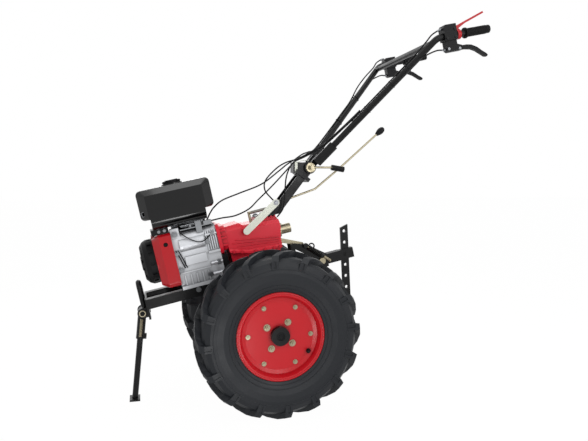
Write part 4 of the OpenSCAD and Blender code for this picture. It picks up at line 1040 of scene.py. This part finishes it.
for side, name in zip(SIDES, ("left", "right")):
    rib_way = way(Vector((GRIP_WAY.x, side * GRIP_WAY.y, GRIP_WAY.z)))
    ribs = [(on_side(GRIP_END + GRIP_WAY * (FIRST_RIB + RIB_STEP * i), side), rib_way)
            for i in range(RIB_COUNT)]
    encircle(f"{name}_grip_ribs", ribs, "handle", "grip_rubber")

sleeve_start = on_side(TILT + Vector((-86, 60.6, -19)), 1)
sleeve = turned(SLEEVE, sleeve_start, way(Vector((-51, 0, -20))))
joined("clamp_sleeve", [sleeve], "handle", "black_plastic")

# %% [markdown]
# Two cables run up each tube. One lies on top of it and goes to the switch block, and one lies on
# its outer side and goes to the lever's perch. On the right tube the upper one starts at the head
# and bows off the tube before the bend. All are routes for the cable tree.

# %% Handle cables
TOP_LIFT = 16.6
SIDE_CABLE = (-6, 15.4)
CROSSING = ((64, 40, 46), (20, 22, 62), (-24, -30, 66), (-70, -72, 74))
TO_SWITCH = ((-508, 284, 396), (-533, 292, 418), (-560, 298, 430))
TO_PERCH = ((-513, 283, 349), (-545, 291, 355), (-566, 297, 352))


def on_tube(distance, lift, out=0):
    """A point along the left tube, lifted off its middle and moved out beside it."""
    return TUBE_START + TUBE_WAY * distance + OVER * lift + BESIDE * out


def handle_routes(side, bow):
    """The upper and the lower cable of one tube."""
    upper = [on_tube(d, TOP_LIFT) for d in (250, 340, 430)]
    upper += [on_tube(d, TOP_LIFT + bow) for d in (520, 600)]
    lower = [on_tube(d, *SIDE_CABLE) for d in (180, 270, 360, 450, 540, 605)]
    return ([on_side(p, side) for p in upper] + from_tilt(TO_SWITCH, side),
            [on_side(p, side) for p in lower] + from_tilt(TO_PERCH, side))


right_upper, right_lower = handle_routes(-1, 12)
handle_wiring = [*handle_routes(1, 0), from_tilt(CROSSING) + right_upper, right_lower]
sweep("handle_cables", handle_wiring, "handle", "cable_black", 3)

# %% [markdown]
# Ties hold the cables to the tube. A tie is drawn tight around what it holds, which is the convex
# outline around three circles: the tube and its two cables. Each cable enters its block through a
# threaded barrel.

# %% Cable ties and barrels
HELD = ((0, 0, 14.2), (16.4, 0, 3.6), (*SIDE_CABLE, 3.6))  # lift, reach out and radius
HELD_SIDES = 20
BARREL = [(3.2, 0), (3.2, 6), (5, 7), (4.6, 9), (5, 11), (4.6, 13), (5, 15), (4, 16), (4, 24)]
BARREL_ENDS = (((-556, 298, 428), (-590, 299, 436)), ((-562, 297, 352), (-590, 299, 350)))


def tie(distance, side):
    """A loop drawn tight around the tube and the two cables on it."""
    angles = [2 * math.pi * k / HELD_SIDES for k in range(HELD_SIDES)]
    rounds = [(lift + r * math.cos(a), out + r * math.sin(a)) for lift, out, r in HELD
              for a in angles]
    return [on_side(on_tube(distance, *rounds[i]), side) for i in convex_hull_2d(rounds)]


ties = [tie(d, 1) for d in (330, 470, 560)] + [tie(d, -1) for d in (300, 470)]
sweep("cable_ties", ties, "handle", "black_plastic", 1.6, closed=True)

barrels = []
for side in SIDES:
    for ends in BARREL_ENDS:
        start, end = from_tilt(ends, side)
        barrels.append(turned(BARREL, start, (end - start).normalized(), 14))
joined("cable_barrels", barrels, "handle", "steel")

# %% [markdown]
# The levers turn on bright pivots, and black screws close the switch blocks. They are small bolts
# of the same tree.

# %% Lever pivots and block screws
SMALL_HEAD = bolt_sizes(4.5, 3, 5.5)
PIVOTS = ((-634, 315.2, 345), (-586, 315.2, 350))
SCREWS = ((-622, 322.3, 392), (-584, 322.3, 392), (-622, 322.3, 424))


def outward(points):
    """Places on both sides of the handlebar, facing outwards."""
    return [(on_side(TILT + Vector(p), side), side * LEFT) for p in points for side in SIDES]


fasten("lever_bolts", outward(PIVOTS), "handle", "steel", SMALL_HEAD)
fasten("block_screws", outward(SCREWS), "handle", "black_paint", SMALL_HEAD)
